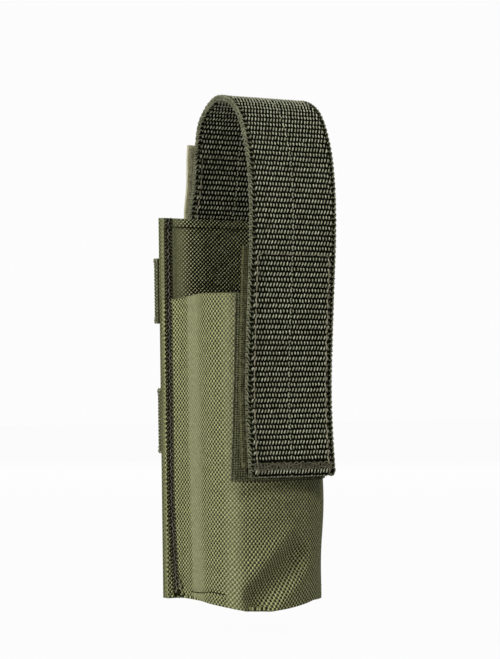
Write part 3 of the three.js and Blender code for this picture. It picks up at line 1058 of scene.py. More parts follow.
class Route:
    """The middle of a strap's thickness in plan or section, which flat pieces are bent along."""

    def __init__(self, points: Sequence[Span]) -> None:
        """Measures the line and the way out of it at each point.

        Args:
            points: the route's points, in order.
        """
        self.points = np.array(points)
        self.places = run_lengths(self.points)
        slopes = np.gradient(self.points, self.places, axis=0)
        slopes /= np.linalg.norm(slopes, axis=1)[:, None]
        self.outward = np.stack([slopes[:, 1], -slopes[:, 0]], axis=1)

    @property
    def length(self) -> float:
        """How long the route is."""
        return float(self.places[-1])

    def along(self, height: float, rising: bool) -> float:
        """How far along the route a height is met, on the way up or on the way down.

        Args:
            height: the height to meet.
            rising: whether on the way up.

        Returns:
            The distance from the route's start.
        """
        heights = self.points[:, 1]
        if rising:
            return next(float(s) for s, z in zip(self.places, heights) if z >= height)
        crest = int(np.argmax(heights))
        falling = zip(self.places[crest:], heights[crest:])
        return next(float(s) for s, z in falling if z <= height)

    def bend(self, flat: np.ndarray) -> np.ndarray:
        """Bends flat points, whose Y is the distance along and whose Z is the distance outwards.

        Args:
            flat: rows of flat points.

        Returns:
            The bent points.
        """
        columns = (*self.points.T, *self.outward.T)
        y, z, out_y, out_z = (np.interp(flat[:, 1], self.places, c) for c in columns)
        out = flat[:, 2]
        return np.stack([flat[:, 0], y + out_y * out, z + out_z * out], axis=1)


# Pouch body

@dataclass(eq=False)
class BodyPlan:
    """The plan of the pouch's body at any height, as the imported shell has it."""

    half_width: float = 25.4
    depth: float = 38.0
    crown: float = 55.0
    corner: float = 19.0
    side_straight: float = 2.9
    flange_reach: float = 3.75
    flange_front: float = -1.13
    taper: float = 1.4
    taper_height: float = 44.0
    dip: float = 3.3
    dip_height: float = 24.0
    dip_widths: Span = (17.0, 25.0)
    dip_offset: float = 10.0

    def arcs(self, taper: float = 0.0) -> tuple[float, float, float, float]:
        """The corner's centre, the crown's centre and the angle where they meet.

        Args:
            taper: how much shallower the section is.

        Returns:
            The corner's X and Y, the crown's Y and the angle.
        """
        corner_x = self.half_width - self.corner
        crown_y = self.crown - (self.depth - taper)
        between = self.crown - self.corner
        corner_y = crown_y - math.sqrt(between**2 - corner_x**2)
        return corner_x, corner_y, crown_y, math.asin(corner_x / between)

    def outline(self, inset: float, height: float) -> np.ndarray:
        """Points round the body from the left flange to the right one.

        Args:
            inset: how far inside the outer face they lie.
            height: above the foot of the panel.

        Returns:
            The (X, Y) points.
        """
        taper = self.taper * max(0.0, 1 - height / self.taper_height)
        corner_x, corner_y, crown_y, meet = self.arcs(taper)
        flange_y = self.flange_front + inset
        flare_depth = -self.arcs()[1] - self.side_straight
        rise = flare_depth + self.flange_front
        flare_radius = (self.flange_reach**2 + rise**2) / (2 * self.flange_reach)
        flare = flare_radius + inset
        flare_x = self.half_width + flare_radius
        flare_end = math.asin((flange_y + flare_depth) / flare)
        right = [(PANEL_EDGE, flange_y)]
        for angle in np.linspace(flare_end, 0, 20):
            place = (flare_x - flare * math.cos(angle), flare * math.sin(angle) - flare_depth)
            right.append(place)
        reach = self.corner - inset
        for angle in np.linspace(math.pi / 2, meet, 30):
            place = (corner_x + reach * math.sin(angle), corner_y - reach * math.cos(angle))
            right.append(place)
        reach = self.crown - inset
        for angle in np.linspace(meet, 0, 14)[1:]:
            right.append((reach * math.sin(angle), crown_y - reach * math.cos(angle)))
        left = [(-x, y) for x, y in right[:-1]]
        return np.array(left + right[::-1])

    def sag(self, x: float, y: float, height: float) -> float:
        """How far a point hangs below its level near the foot.

        Args:
            x: across.
            y: forwards where below 0.
            height: the level.

        Returns:
            The drop.
        """
        apart = x + self.dip_offset
        sideways = max(0.0, 1 - (apart / self.dip_widths[apart > 0]) ** 2)
        upwards = max(0.0, 1 - height / self.dip_height)
        forwards = min(1.0, max(0.0, -y / self.depth))
        return self.dip * sideways * upwards * forwards

    @lru_cache(maxsize=2048)
    def _ring(self, inset: float, height: float) -> tuple[np.ndarray, np.ndarray]:
        """The outline at a height with the share of its length at each point.

        Args:
            inset: how far inside the outline.
            height: the level.

        Returns:
            The points and their shares.
        """
        points = self.outline(inset, height)
        lengths = run_lengths(points)
        return points, lengths / lengths[-1]

    def at(self, share: float, inset: float, height: float) -> Span:
        """The point at a share of the way round.

        Args:
            share: the share of the way.
            inset: how far inside the outline.
            height: the level.

        Returns:
            The (X, Y) point.
        """
        points, shares = self._ring(round(inset, 3), round(height, 3))
        x, y = (float(np.interp(share, shares, column)) for column in points.T)
        return x, y

    def front(self, flat: np.ndarray) -> np.ndarray:
        """Wraps flat points round the front, whose X is the distance round and Z is outwards.

        Args:
            flat: rows of flat points.

        Returns:
            The wrapped points.
        """
        corner_x, corner_y, crown_y, meet = self.arcs()
        distance = np.abs(flat[:, 0])
        past = np.maximum(0.0, distance - meet * self.crown)
        angle = np.where(past > 0, meet + past / self.corner, distance / self.crown)
        reach = np.where(past > 0, self.corner, self.crown) + flat[:, 2]
        x = np.where(past > 0, corner_x, 0.0) + reach * np.sin(angle)
        y = np.where(past > 0, corner_y, crown_y) - reach * np.cos(angle)
        return np.stack([np.sign(flat[:, 0]) * x, y, flat[:, 1]], axis=1)


@dataclass
class PouchBody:
    """The wrapped cloth shell with its hem, the foot and the wide loop tape on its front.

    Attributes:
        shade: the finish of stitches that are sunk in the cloth, painted near black as the shade of
            their sunk line.
        around: the cloth's width, round from flange to flange.
        hem: how far the mouth's hem comes down inside.
        hem_inset: how far inside it lies.
        loop_offset: how far its middle is to the right of the front's.
        loop_lean: how far its top leans to the right of its foot.
        dent: how deep the worn dent over the foot is.
        dent_foot: where the dent starts, from the front's middle and up.
        dent_way: the direction that it runs in.
    """

    cloth: Material
    thread: Material
    shade: Material
    pile: Material
    ground: Material
    plan: BodyPlan
    around: float = 131.0
    wall: float = 1.05
    hem: float = 11.5
    hem_inset: float = 2.1
    loop_width: float = 44.6
    loop_height: float = 69.5
    loop_offset: float = 1.9
    loop_lean: float = 1.7
    dent: float = 4.2
    dent_foot: Span = (-22.0, 3.0)
    dent_way: Span = (0.81, 0.58)

    def relief(self, across: float, up: float) -> float:
        """How far the worn cloth stands out of its plain shape.

        Args:
            across: the distance round from the left flange.
            up: the height above the foot.

        Returns:
            The distance, which is less than 0 where the cloth is pushed in.
        """
        front = across - self.around / 2
        edge = min(across, self.around - across)
        quiet = smooth((edge - 1.5) / 6.0)
        forms = self.worn_front(front, up) + self.foot_crease(across, up)
        forms += self.gathers(edge, up) - self.valley(across, up)
        return forms + (self.waves(across, up) + self.mouth_hem(up)) * quiet

    def worn_front(self, front: float, up: float) -> float:
        """The ridge, the dent and the bulges of the front, from its middle and up.

        Args:
            front: the distance from the front's middle.
            up: the height.

        Returns:
            How far the cloth stands out.
        """
        ridge = 0.75 * max(0.0, 1 - up / 80) * hump(front - self.dent_foot[0], 3.2)
        x, z = front - self.dent_foot[0], up - self.dent_foot[1]
        along = x * self.dent_way[0] + z * self.dent_way[1]
        off = x * self.dent_way[1] - z * self.dent_way[0]
        reach = smooth(along / 9.0) * (1 - smooth((along - 30.0) / 12.0))
        hollow = smooth((off + 3.5) / 8.5) * (1 - smooth((off - 6.5) / 7.0))
        lip = 0.8 * hump(off + 5.0, 3.0)
        belly = 0.9 * hump(front - 27.0, 9.0) * hump(up - 38.0, 16.0)
        return ridge + reach * (lip - self.dent * hollow) + belly

    def foot_crease(self, across: float, up: float) -> float:
        """The line where the cloth turns under at the left of the foot, and the roll below it.

        Args:
            across: the way round.
            up: the height.

        Returns:
            How far the cloth stands out.
        """
        above = up - self.turn_line(across)
        share = smooth((across - 13.5) / 3.0) * (1 - smooth((across - 36.0) / 4.0))
        return share * (0.6 * hump(above + 1.5, 1.0) - 0.5 * hump(above - 0.3, 0.7))

    @staticmethod
    def valley(across: float, up: float) -> float:
        """How deep the cloth is drawn in beside the left seam."""
        return 1.1 * hump(across - 9.5 - 0.02 * up, 2.6) * max(0.0, 1 - up / 60)

    @staticmethod
    def gathers(edge: float, up: float) -> float:
        """The pleats at the corners of the foot, by the distance from the nearer flange.

        Args:
            edge: the distance from the nearer flange.
            up: the height.

        Returns:
            How far the cloth stands out.
        """
        share = hump(edge - 7.0, 4.2) * max(0.0, 1 - up / 11.0)
        wide = 0.45 * math.sin(edge * 1.1 - up * 1.7)
        return share * (0.6 * math.sin(edge * 2.3 + up * 0.9) + wide)

    @staticmethod
    def waves(across: float, up: float) -> float:
        """The cloth's slow waves.

        Args:
            across: the way round.
            up: the height.

        Returns:
            How far the cloth stands out.
        """
        long_wave = 0.32 * math.sin(up / 13.0 + across / 21.0) * math.sin(across / 11.0 + 0.8)
        short_wave = 0.18 * math.sin(up / 6.1 - across / 9.0)
        return long_wave + short_wave * max(0.0, 1 - up / 80)

    @staticmethod
    def mouth_hem(up: float) -> float:
        """The roll of the mouth's hem, and the line of its stitches below."""
        return 0.22 * hump(up - MOUTH_HEIGHT + 2.0, 2.4) - 0.2 * hump(up - MOUTH_HEIGHT + 5.0, 0.8)

    @staticmethod
    def turn_line(edge: float) -> float:
        """The height of the sunk line over the turned foot, by the distance from the flange."""
        return 1.8 + 2.8 * smooth((edge - 15.0) / 17.0)

    def rise(self, across: float, height: float) -> float:
        """How much higher than its plain shape the cloth lies, at the mouth and at the corners.

        Args:
            across: the way round.
            height: the level.

        Returns:
            The lift.
        """
        edge = min(across, self.around - across)
        crest = 1.9 * smooth((edge - 1.0) / 24.0) * smooth((height - 70.0) / 46.0)
        return crest + 1.7 * hump(edge - 14.0, 9.0) * (1 - smooth(height / 16.0))

    def wall_at(self, across: float, height: float, inset: float, proud: float) -> Span:
        """The (X, Y) of the worn wall, which never goes back into the panel.

        Args:
            across: the distance round from the left flange.
            height: above the foot.
            inset: how far inside the outer face it lies.
            proud: how far the worn cloth stands out there.

        Returns:
            The point in plan.
        """
        x, y = self.plan.at(across / self.around, inset - proud, height)
        return x, min(y, self.plan.flange_front + inset)

    def fold(self, across: float, up: float) -> Place:
        """The place of a flat point of the shell, whose top turns over and down inside.

        Args:
            across: the way round.
            up: the way up the flat sheet.

        Returns:
            Its place.
        """
        turn = self.hem_inset / 2
        top = MOUTH_HEIGHT - turn
        proud = self.relief(across, min(up, top))
        if up <= top:
            inset, height = 0.0, up
        elif up <= top + math.pi * turn:
            angle = (up - top) / turn
            inset, height = turn * (1 - math.cos(angle)), top + turn * math.sin(angle)
        else:
            inset, height = self.hem_inset, top - (up - top - math.pi * turn)
        x, y = self.wall_at(across, height, inset, proud)
        return x, y, height + self.rise(across, height) - self.plan.sag(x, y, height)

    def on(self, across: float, up: float, proud: float) -> Vector:
        """A point that stands a little out of the shell's outer face."""
        x, y = self.wall_at(across, up, 0.0, self.relief(across, up) + proud)
        return Vector((x, y, up + self.rise(across, up) - self.plan.sag(x, y, up)))

    def build(self) -> None:
        """Builds the body's pieces."""
        turn = self.hem_inset / 2
        length = MOUTH_HEIGHT - turn + math.pi * turn + self.hem
        flat = sheet(columns=170, rows=160, size=(self.around, length), fold=self.fold)
        shell = moved(thickened(flat, self.wall, rim=0.25, even=False), hung)
        put("body_shell", shell, self.cloth, Body.POUCH, Slot.CLOTH, ["pouch_body"])
        self.foot()
        self.foot_stitches()
        self.loop_tape()

    def foot_stitches(self) -> None:
        """Sews the sunk stitches over the turned foot, painted near black as shade, and the tacks
        that gather its corners.
        """
        places = []
        for side, start, end in ((1, 0.0, 38.0), (-1, self.around, 31.0)):
            line = [
                self.on(start + side * edge, self.turn_line(edge), 0.06)
                for edge in np.linspace(14.5, end, 30)
            ]
            places += stitch_run(line, pitch=1.5, facing=Vector((-side, -0.4, 0)))
        sunk = moved(sewn(places, 17, length=2.6, width=0.42, rise=0.3), hung)
        # painted shade: the foot's sunk stitches are painted near black as the shade in their line
        put("foot_stitches", sunk, self.shade, Body.POUCH, Slot.CLOTH)
        rng = np.random.default_rng(19)
        places = []
        for side, start in ((1, 0.0), (-1, self.around)):
            for _ in range(14):
                spot = self.on(start + side * rng.uniform(4.5, 8.5), rng.uniform(2.0, 6.5), 0.0)
                turn = Matrix.Rotation(rng.uniform(-0.35, 0.35), 4, "Y") @ spin(90, "X")
                places.append(Matrix.Translation(spot) @ turn)
        tacks = moved(sewn(places, 23, length=2.2, width=0.42, rise=0.26), hung)
        put("foot_tacks", tacks, self.thread, Body.POUCH, Slot.CLOTH)

    def foot(self) -> None:
        """Builds the panel that closes the foot."""
        outline = self.plan.outline(CLOTH + SEAM_GAP, 0.0)
        ring = [p for p in outline if abs(p[0]) < PANEL_EDGE - 0.1]
        middle = np.mean(ring, axis=0)
        ring.sort(key=lambda p: math.atan2(p[1] - middle[1], p[0] - middle[0]))
        work = bmesh.new()
        made = bmesh.ops.create_circle(
            work, cap_ends=True, cap_tris=True, segments=len(ring), radius=1.0
        )
        centre = next(v for v in made["verts"] if v.co.length < 0.5)
        rim = [v for v in made["verts"] if v is not centre]
        rim.sort(key=lambda v: math.atan2(v.co.y, v.co.x))
        for vert, (x, y) in zip([*rim, centre], [*ring, middle]):
            vert.co = (x, y, 0)
        spokes = [e for e in work.edges if centre in e.verts]
        bmesh.ops.subdivide_edges(work, edges=spokes, cuts=7, use_grid_fill=True)
        lay_by(work, "xy")
        for vert in work.verts:
            vert.co.z = SEAM_GAP + CLOTH - self.plan.sag(vert.co.x, vert.co.y, 0.0)
        bmesh.ops.recalc_face_normals(work, faces=work.faces)
        panel = applied(keep(work), ("SOLIDIFY", {"thickness": CLOTH, "offset": -1.0}))
        put("foot_panel", moved(panel, hung), self.cloth, Body.POUCH, Slot.CLOTH, ["bottom_panel"])

    def loop_tape(self) -> None:
        """Builds the loop tape that wraps the front."""
        low, high, thickness = MOUTH_HEIGHT - self.loop_height, MOUTH_HEIGHT, 0.7
        tape = slab(self.loop_width, self.loop_height, thickness, edge=0.25, steps=50, across=60)
        tape.transform(Matrix.Translation((self.loop_offset, low, SEAM_GAP + 0.3)))
        tape = moved(tape, self.wrapped)
        put("front_loop_ground", tape, self.ground, Body.POUCH, Slot.LOOP, ["front_loop_tape"])
        fibres = Pile(pitch=0.98, radius=0.46, tilt=0.6, filament=0.13)
        rng = np.random.default_rng(11)
        pile = fibres.over(rng, self.loop_width - 2.2, self.loop_height - 1.0)
        pile.transform(Matrix.Translation((self.loop_offset, low + 0.5, SEAM_GAP + 0.5)))
        put("front_loop_pile", moved(pile, self.wrapped), self.pile, Body.POUCH, Slot.LOOP)
        face = SEAM_GAP + thickness + 0.02
        reach = self.loop_width / 2 - 0.15
        left, right = self.loop_offset - reach, self.loop_offset + reach
        places = []
        for x in (left, right):
            line = straight((x, low + 0.3, face - 0.08), (x, high - 0.3, face - 0.08), 50)
            places += stitch_run(line, pitch=1.7, facing=UPWARD, swing=8)
        for y in (low + 1.2, high - 1.4):
            line = straight((left, y, face), (right, y, face), 40)
            places += stitch_run(line, pitch=2.9, facing=UPWARD)
        thread = moved(sewn(places, 13, length=2.4, width=0.55, rise=0.36), self.wrapped)
        put("front_loop_thread", thread, self.thread, Body.POUCH, Slot.LOOP)

    def wrapped(self, flat: np.ndarray) -> np.ndarray:
        """Wraps flat points, whose Z is outwards, round the front of the worn shell.

        Args:
            flat: rows of flat points.

        Returns:
            The wrapped points.
        """
        up = (flat[:, 1] - MOUTH_HEIGHT + self.loop_height) / self.loop_height
        flat = slid(flat, self.loop_lean * up - 0.4)
        middle = self.around / 2
        proud = [self.relief(middle + x, y) for x, y, _ in flat]
        lift = [self.rise(middle + x, y) for x, y, _ in flat]
        return self.plan.front(slid(slid(flat, lift, axis=1), proud, axis=2))


# Back panels and rows

@dataclass
class BackPanel:
    """The two cloth layers of the back, the lining of the sleeve between them, and their seams.

    Attributes:
        dark: the finish of the side seams' ground, painted near black as the shade in their groove.
        slope: how far its walls slope out.
        back_face: where the sleeve's rear face lies.
        edge_front: where the front of the rear layer's turned sides lies.
        edge_rear: where their rear lies.
        top_hem: how far its top comes down in front.
        raised: how far the side hems stand out.
        ply: the thickness of the inner layer's own cloth.
        stitch_inset: how far in from its sides the rear layer's stitches run.
        crowd: how far the walls push the seams inwards at the foot.
        crowd_height: the height at which that ends.
    """

    cloth: Material
    rear_cloth: Material
    thread: Material
    seam_thread: Material
    dark: Material
    pile: Material
    ground: Material
    body: PouchBody
    channel: float = 3.5
    sleeve_half: float = 22.6
    slope: float = 3.2
    back_face: float = 7.8
    edge_front: float = 1.5
    edge_rear: float = 3.9
    side_hem: float = 6.2
    top_hem: float = 2.2
    raised: float = 0.9
    ply: float = 0.78
    stitch_inset: float = 4.1
    crowd: float = 2.4
    crowd_height: float = 40.0

    def build(self) -> None:
        """Builds the back's pieces."""
        self.inner()
        self.outer()
        self.lining()
        self.side_seams()
        self.hem_stitches()

    def inner(self) -> None:
        """Builds the layer behind the mouth, its top turned forward and its sides hemmed."""
        turn = (CLOTH + self.raised / 2 + self.ply) / 2
        top = PANEL_HEIGHT - turn

        def main(x: float, up: float) -> Place:
            """The panel's rear face, which turns over the top to the front.

            Args:
                x: the way across, from the edge.
                up: the way up the flat sheet.

            Returns:
                The place.
            """
            across = x - PANEL_EDGE
            if up <= top:
                return across, CLOTH, up
            if up <= top + math.pi * turn:
                angle = (up - top) / turn
                return across, CLOTH - turn * (1 - math.cos(angle)), top + turn * math.sin(angle)
            return across, CLOTH - 2 * turn, top - (up - top - math.pi * turn)

        def cover(x: float, up: float) -> Place:
            """The front face between the side hems."""
            return x - PANEL_EDGE + 0.3, 0.0, top - up

        size = (2 * PANEL_EDGE, top + math.pi * turn + self.top_hem)
        plies = [thickened(sheet(64, 170, size, main), self.ply, rim=0.2, offset=1.0)]
        plies.append(thickened(sheet(62, 140, (2 * PANEL_EDGE - 0.6, top), cover), 0.4))
        plies += [self.hemmed_side(side) for side in (-1, 1)]
        panel = moved(merged(*plies), hung)
        put("inner_panel", panel, self.cloth, Body.POUCH, Slot.CLOTH, ["back_panel_inner"])

    def hemmed_side(self, side: int) -> Mesh:
        """The hem on one side of the inner layer, above the mouth's corner.

        Args:
            side: the sign of X.

        Returns:
            The hem.
        """
        foot, wide = MOUTH_HEIGHT + SEAM_GAP, self.side_hem

        def hem(x: float, up: float) -> Place:
            """The hem, which bulges out of the front of the panel."""
            bulge = self.raised * math.sin(math.pi * min(1.0, max(0.0, x / wide))) ** 0.35
            return side * (PANEL_EDGE - (x if side < 0 else wide - x)), -bulge, foot + up

        return thickened(sheet(10, 34, (wide, PANEL_HEIGHT - foot - 0.4), hem), 0.3)

    def outer(self) -> None:
        """Builds the rear layer, whose sides are turned in and whose middle stands off."""
        turn = (self.edge_rear - self.edge_front) / 2
        fold = self.sleeve_half + self.slope
        corners = [
            (PANEL_EDGE - 7.0, self.edge_front), (PANEL_EDGE - turn, self.edge_front),
            (PANEL_EDGE - turn * 0.3, self.edge_front + turn * 0.3),
            (PANEL_EDGE, self.edge_front + turn),
            (PANEL_EDGE - turn * 0.3, self.edge_rear - turn * 0.3),
            (PANEL_EDGE - turn, self.edge_rear), (fold + 0.8, self.edge_rear),
            (fold - 0.4, self.edge_rear + 0.4), (self.sleeve_half + 0.5, self.back_face - 0.4),
            (self.sleeve_half - 0.8, self.back_face), (0.0, self.back_face),
        ]
        points = np.array(corners + [(-x, y) for x, y in corners[-2::-1]])
        lengths = run_lengths(points)

        def wrap(x: float, up: float) -> Place:
            """The place on the rear layer, round both of its turned sides."""
            across, y = (float(np.interp(x, lengths, column)) for column in points.T)
            return across, y, up

        layer = sheet(columns=110, rows=120, size=(float(lengths[-1]), PANEL_HEIGHT), fold=wrap)
        bmesh.ops.recalc_face_normals(layer, faces=layer.faces)
        if sum(f.normal.y for f in layer.faces) < 0:
            bmesh.ops.reverse_faces(layer, faces=layer.faces)
        layer = moved(thickened(layer, 1.1, rim=0.25), hung)
        put("rear_panel", layer, self.rear_cloth, Body.POUCH, Slot.CLOTH, ["back_panel_outer"])

    def lining(self) -> None:
        """Builds the loop tape inside the sleeve."""
        foot = PANEL_HEIGHT - 82.0
        tape = slab(width=39.0, length=80.0, thickness=0.5, edge=0.2, steps=8)
        tape.transform(Matrix.Translation((0, 6.05, foot)) @ spin(90, "X"))
        put("sleeve_loop_ground", tape, self.ground, Body.POUCH, Slot.LOOP, ["sleeve_loop_lining"])
        fibres = Pile(pitch=1.6, radius=0.45, tilt=0.4)
        pile = fibres.over(np.random.default_rng(29), width=38.0, length=79.0)
        pile.transform(Matrix.Translation((0, 5.85, foot + 0.5)) @ spin(90, "X"))
        put("sleeve_loop_pile", pile, self.pile, Body.POUCH, Slot.LOOP)

    def side_seams(self) -> None:
        """Sews the side seams: a sunk ground painted dark as the groove's shade, a woven edge on
        each side and a thread up it.
        """
        pitch, start = 1.3, 1.4
        grounds, threads, webs = [], [], []
        for side in (-1, 1):

            def lain(flat: np.ndarray) -> np.ndarray:
                """Lays flat points into this side's seam."""
                return self.sunk(flat, side)

            ground = slab(self.channel, PANEL_HEIGHT - 0.5, 0.3, edge=0.1, steps=120, across=8)
            ground.transform(Matrix.Translation((0, 0.3, 0.0)))
            grounds.append(moved(ground, lain))
            loops, strands = [], []
            for i in range(1, int((PANEL_HEIGHT - 1.0) / pitch)):
                wave = Matrix.Translation((0.25 * (-1) ** i, start + i * pitch, 0.16))
                strands.append(wave @ spin(17 * (-1) ** i))
                for row in (-1, 1):
                    up = start + (i + 0.5 * (row + 1) / 2) * pitch
                    loops.append(Matrix.Translation((row * 1.25, up, 0.06)) @ spin(48 * row))
            webs.append(moved(sewn(loops, 5 + side, 1.25, 0.4, 0.26), lain))
            threads.append(moved(sewn(strands, 9 + side, 1.75, 0.46, 0.3), lain))
        for name, parts, finish in (
            # painted shade: the seam's ground is a dark strip standing for the shade in the stitched
            # groove
            ("side_seam_painted_shade", grounds, self.dark),
            ("side_seam_thread", threads, self.seam_thread), ("side_seam_weave", webs, self.thread),
        ):
            put(name, moved(merged(*parts), hung), finish, Body.POUCH, Slot.CLOTH)

    def hem_stitches(self) -> None:
        """Sews the rear layer's sides, its top and its foot."""
        places = []
        edge = PANEL_EDGE - self.stitch_inset
        for x in (-edge, edge):
            line = straight((x, self.edge_rear, 2.0), (x, self.edge_rear, PANEL_HEIGHT - 2), 70)
            places += stitch_run(line, pitch=3.4, facing=REARWARD)
        for half, height in ((20.0, PANEL_HEIGHT - 3.4), (self.sleeve_half, 3.2)):
            line = straight((-half, self.back_face, height), (half, self.back_face, height), 30)
            places += stitch_run(line, pitch=3.2, facing=REARWARD)
        hems = moved(sewn(places, 6, length=2.6, width=0.5, rise=0.26), hung)
        put("hem_thread", hems, self.thread, Body.POUCH, Slot.CLOTH)

    def sunk(self, flat: np.ndarray, side: int) -> np.ndarray:
        """Lays a flat strip of the side seam into its channel, crowded inwards at the foot.

        Args:
            flat: points whose X is across the channel, Y is up it and Z is out of it.
            side: -1 for the left seam and 1 for the right one.

        Returns:
            The points in the layout.
        """
        up = flat[:, 1]
        crowd = self.crowd * np.clip((self.crowd_height - up) / self.crowd_height, 0, 1) ** 1.3
        across = 2.2 - side * flat[:, 0]
        above = np.clip((up - MOUTH_HEIGHT) / 1.5 + 0.5, 0, 1)
        around = self.body.around
        walls, lifted = [], []
        for edge, height in zip(across + crowd, up):
            proud = self.body.relief(edge if side < 0 else around - edge, height)
            level = min(max(round(height), 0), MOUTH_HEIGHT)
            walls.append(self.body.wall_at(edge, level, 0.0, proud))
            lifted.append(self.body.rise(edge, height))
        wall = np.array(walls)
        x = wall[:, 0] * (1 - above) + (across - PANEL_EDGE) * above
        y = wall[:, 1] * (1 - above) - self.ply * above
        y -= 0.45 * np.clip((up - 143.6) / 0.8, 0, 1)
        z = up + np.array(lifted) * (1 - above)
        return np.stack([-side * x, y - 0.16 - flat[:, 2], z], axis=1)


@dataclass
class AttachmentRows:
    """The two rows of webbing across the back, their ends turned forward into the side seams."""

    yarn: Material
    core: Material
    thread: Material
    height: float = 25.4
    thickness: float = 1.6
    middle: float = 8.9
    front: float = 4.2
    fold: float = 2.2
    tack_line: float = 19.05
    tacks: int = 22

    def build(self) -> None:
        """Builds both rows."""
        self.row("upper", half=PANEL_EDGE, foot=107.0, seed=101)
        self.row("lower", half=PANEL_EDGE - 1.0, foot=56.2, seed=131)

    def line(self, half: float) -> Route:
        """The row's route in plan, as (X, Y) points from its right end to its left one.

        Args:
            half: half of the row's length.

        Returns:
            The route.
        """
        leg = half - self.thickness / 2
        right = [(leg, self.front)]
        for angle in np.linspace(0, math.pi / 2, 8):
            x = leg - self.fold * (1 - math.cos(angle))
            right.append((x, self.middle - self.fold * (1 - math.sin(angle))))
        return Route(refined(right + [(-x, y) for x, y in right[::-1]], 5))

    def row(self, name: str, half: float, foot: float, seed: int) -> None:
        """Builds one row.

        Args:
            name: which row it is.
            half: half of its width.
            foot: the height of its lower edge.
            seed: for its yarns.
        """
        route = self.line(half)

        def wrap(flat: np.ndarray) -> np.ndarray:
            """Bends the flat row round the back."""
            x, y, z = route.bend(flat).T
            return hung(np.stack([y, z, foot + self.height / 2 - x], axis=1))

        ground = moved(slab(self.height, route.length, self.thickness - 0.5, 0.4, 90), wrap)
        node = f"pals_row_{name}"
        put(f"row_{name}_ground", ground, self.core, Body.POUCH, Slot.ROWS, [node])
        span = (0.4, route.length - 0.4)
        floats = ROW_WEAVE.floats([span], height=0.42, face=1, seed=seed)
        edges = ROW_WEAVE.selvage(span, self.height / 2 - 0.45, seed + 3)
        yarns = moved(merged(floats, edges), wrap)
        put(f"row_{name}_yarns", yarns, self.yarn, Body.POUCH, Slot.ROWS)
        places = []
        for across in (-self.tack_line, self.tack_line):
            for i in range(self.tacks):
                height = foot + 1.6 + i * (self.height - 3.2) / (self.tacks - 1)
                spot = Matrix.Translation((across, self.middle + 0.72, height)) @ spin(-90, "X")
                places.append(spot @ spin(90 + 12 * (-1) ** i))
        tacks = sewn(places, seed + 5, length=3.0, width=0.6, rise=0.3)
        put(f"row_{name}_tacks", tacks, self.thread, Body.POUCH, Slot.ROWS)


# Flap strap

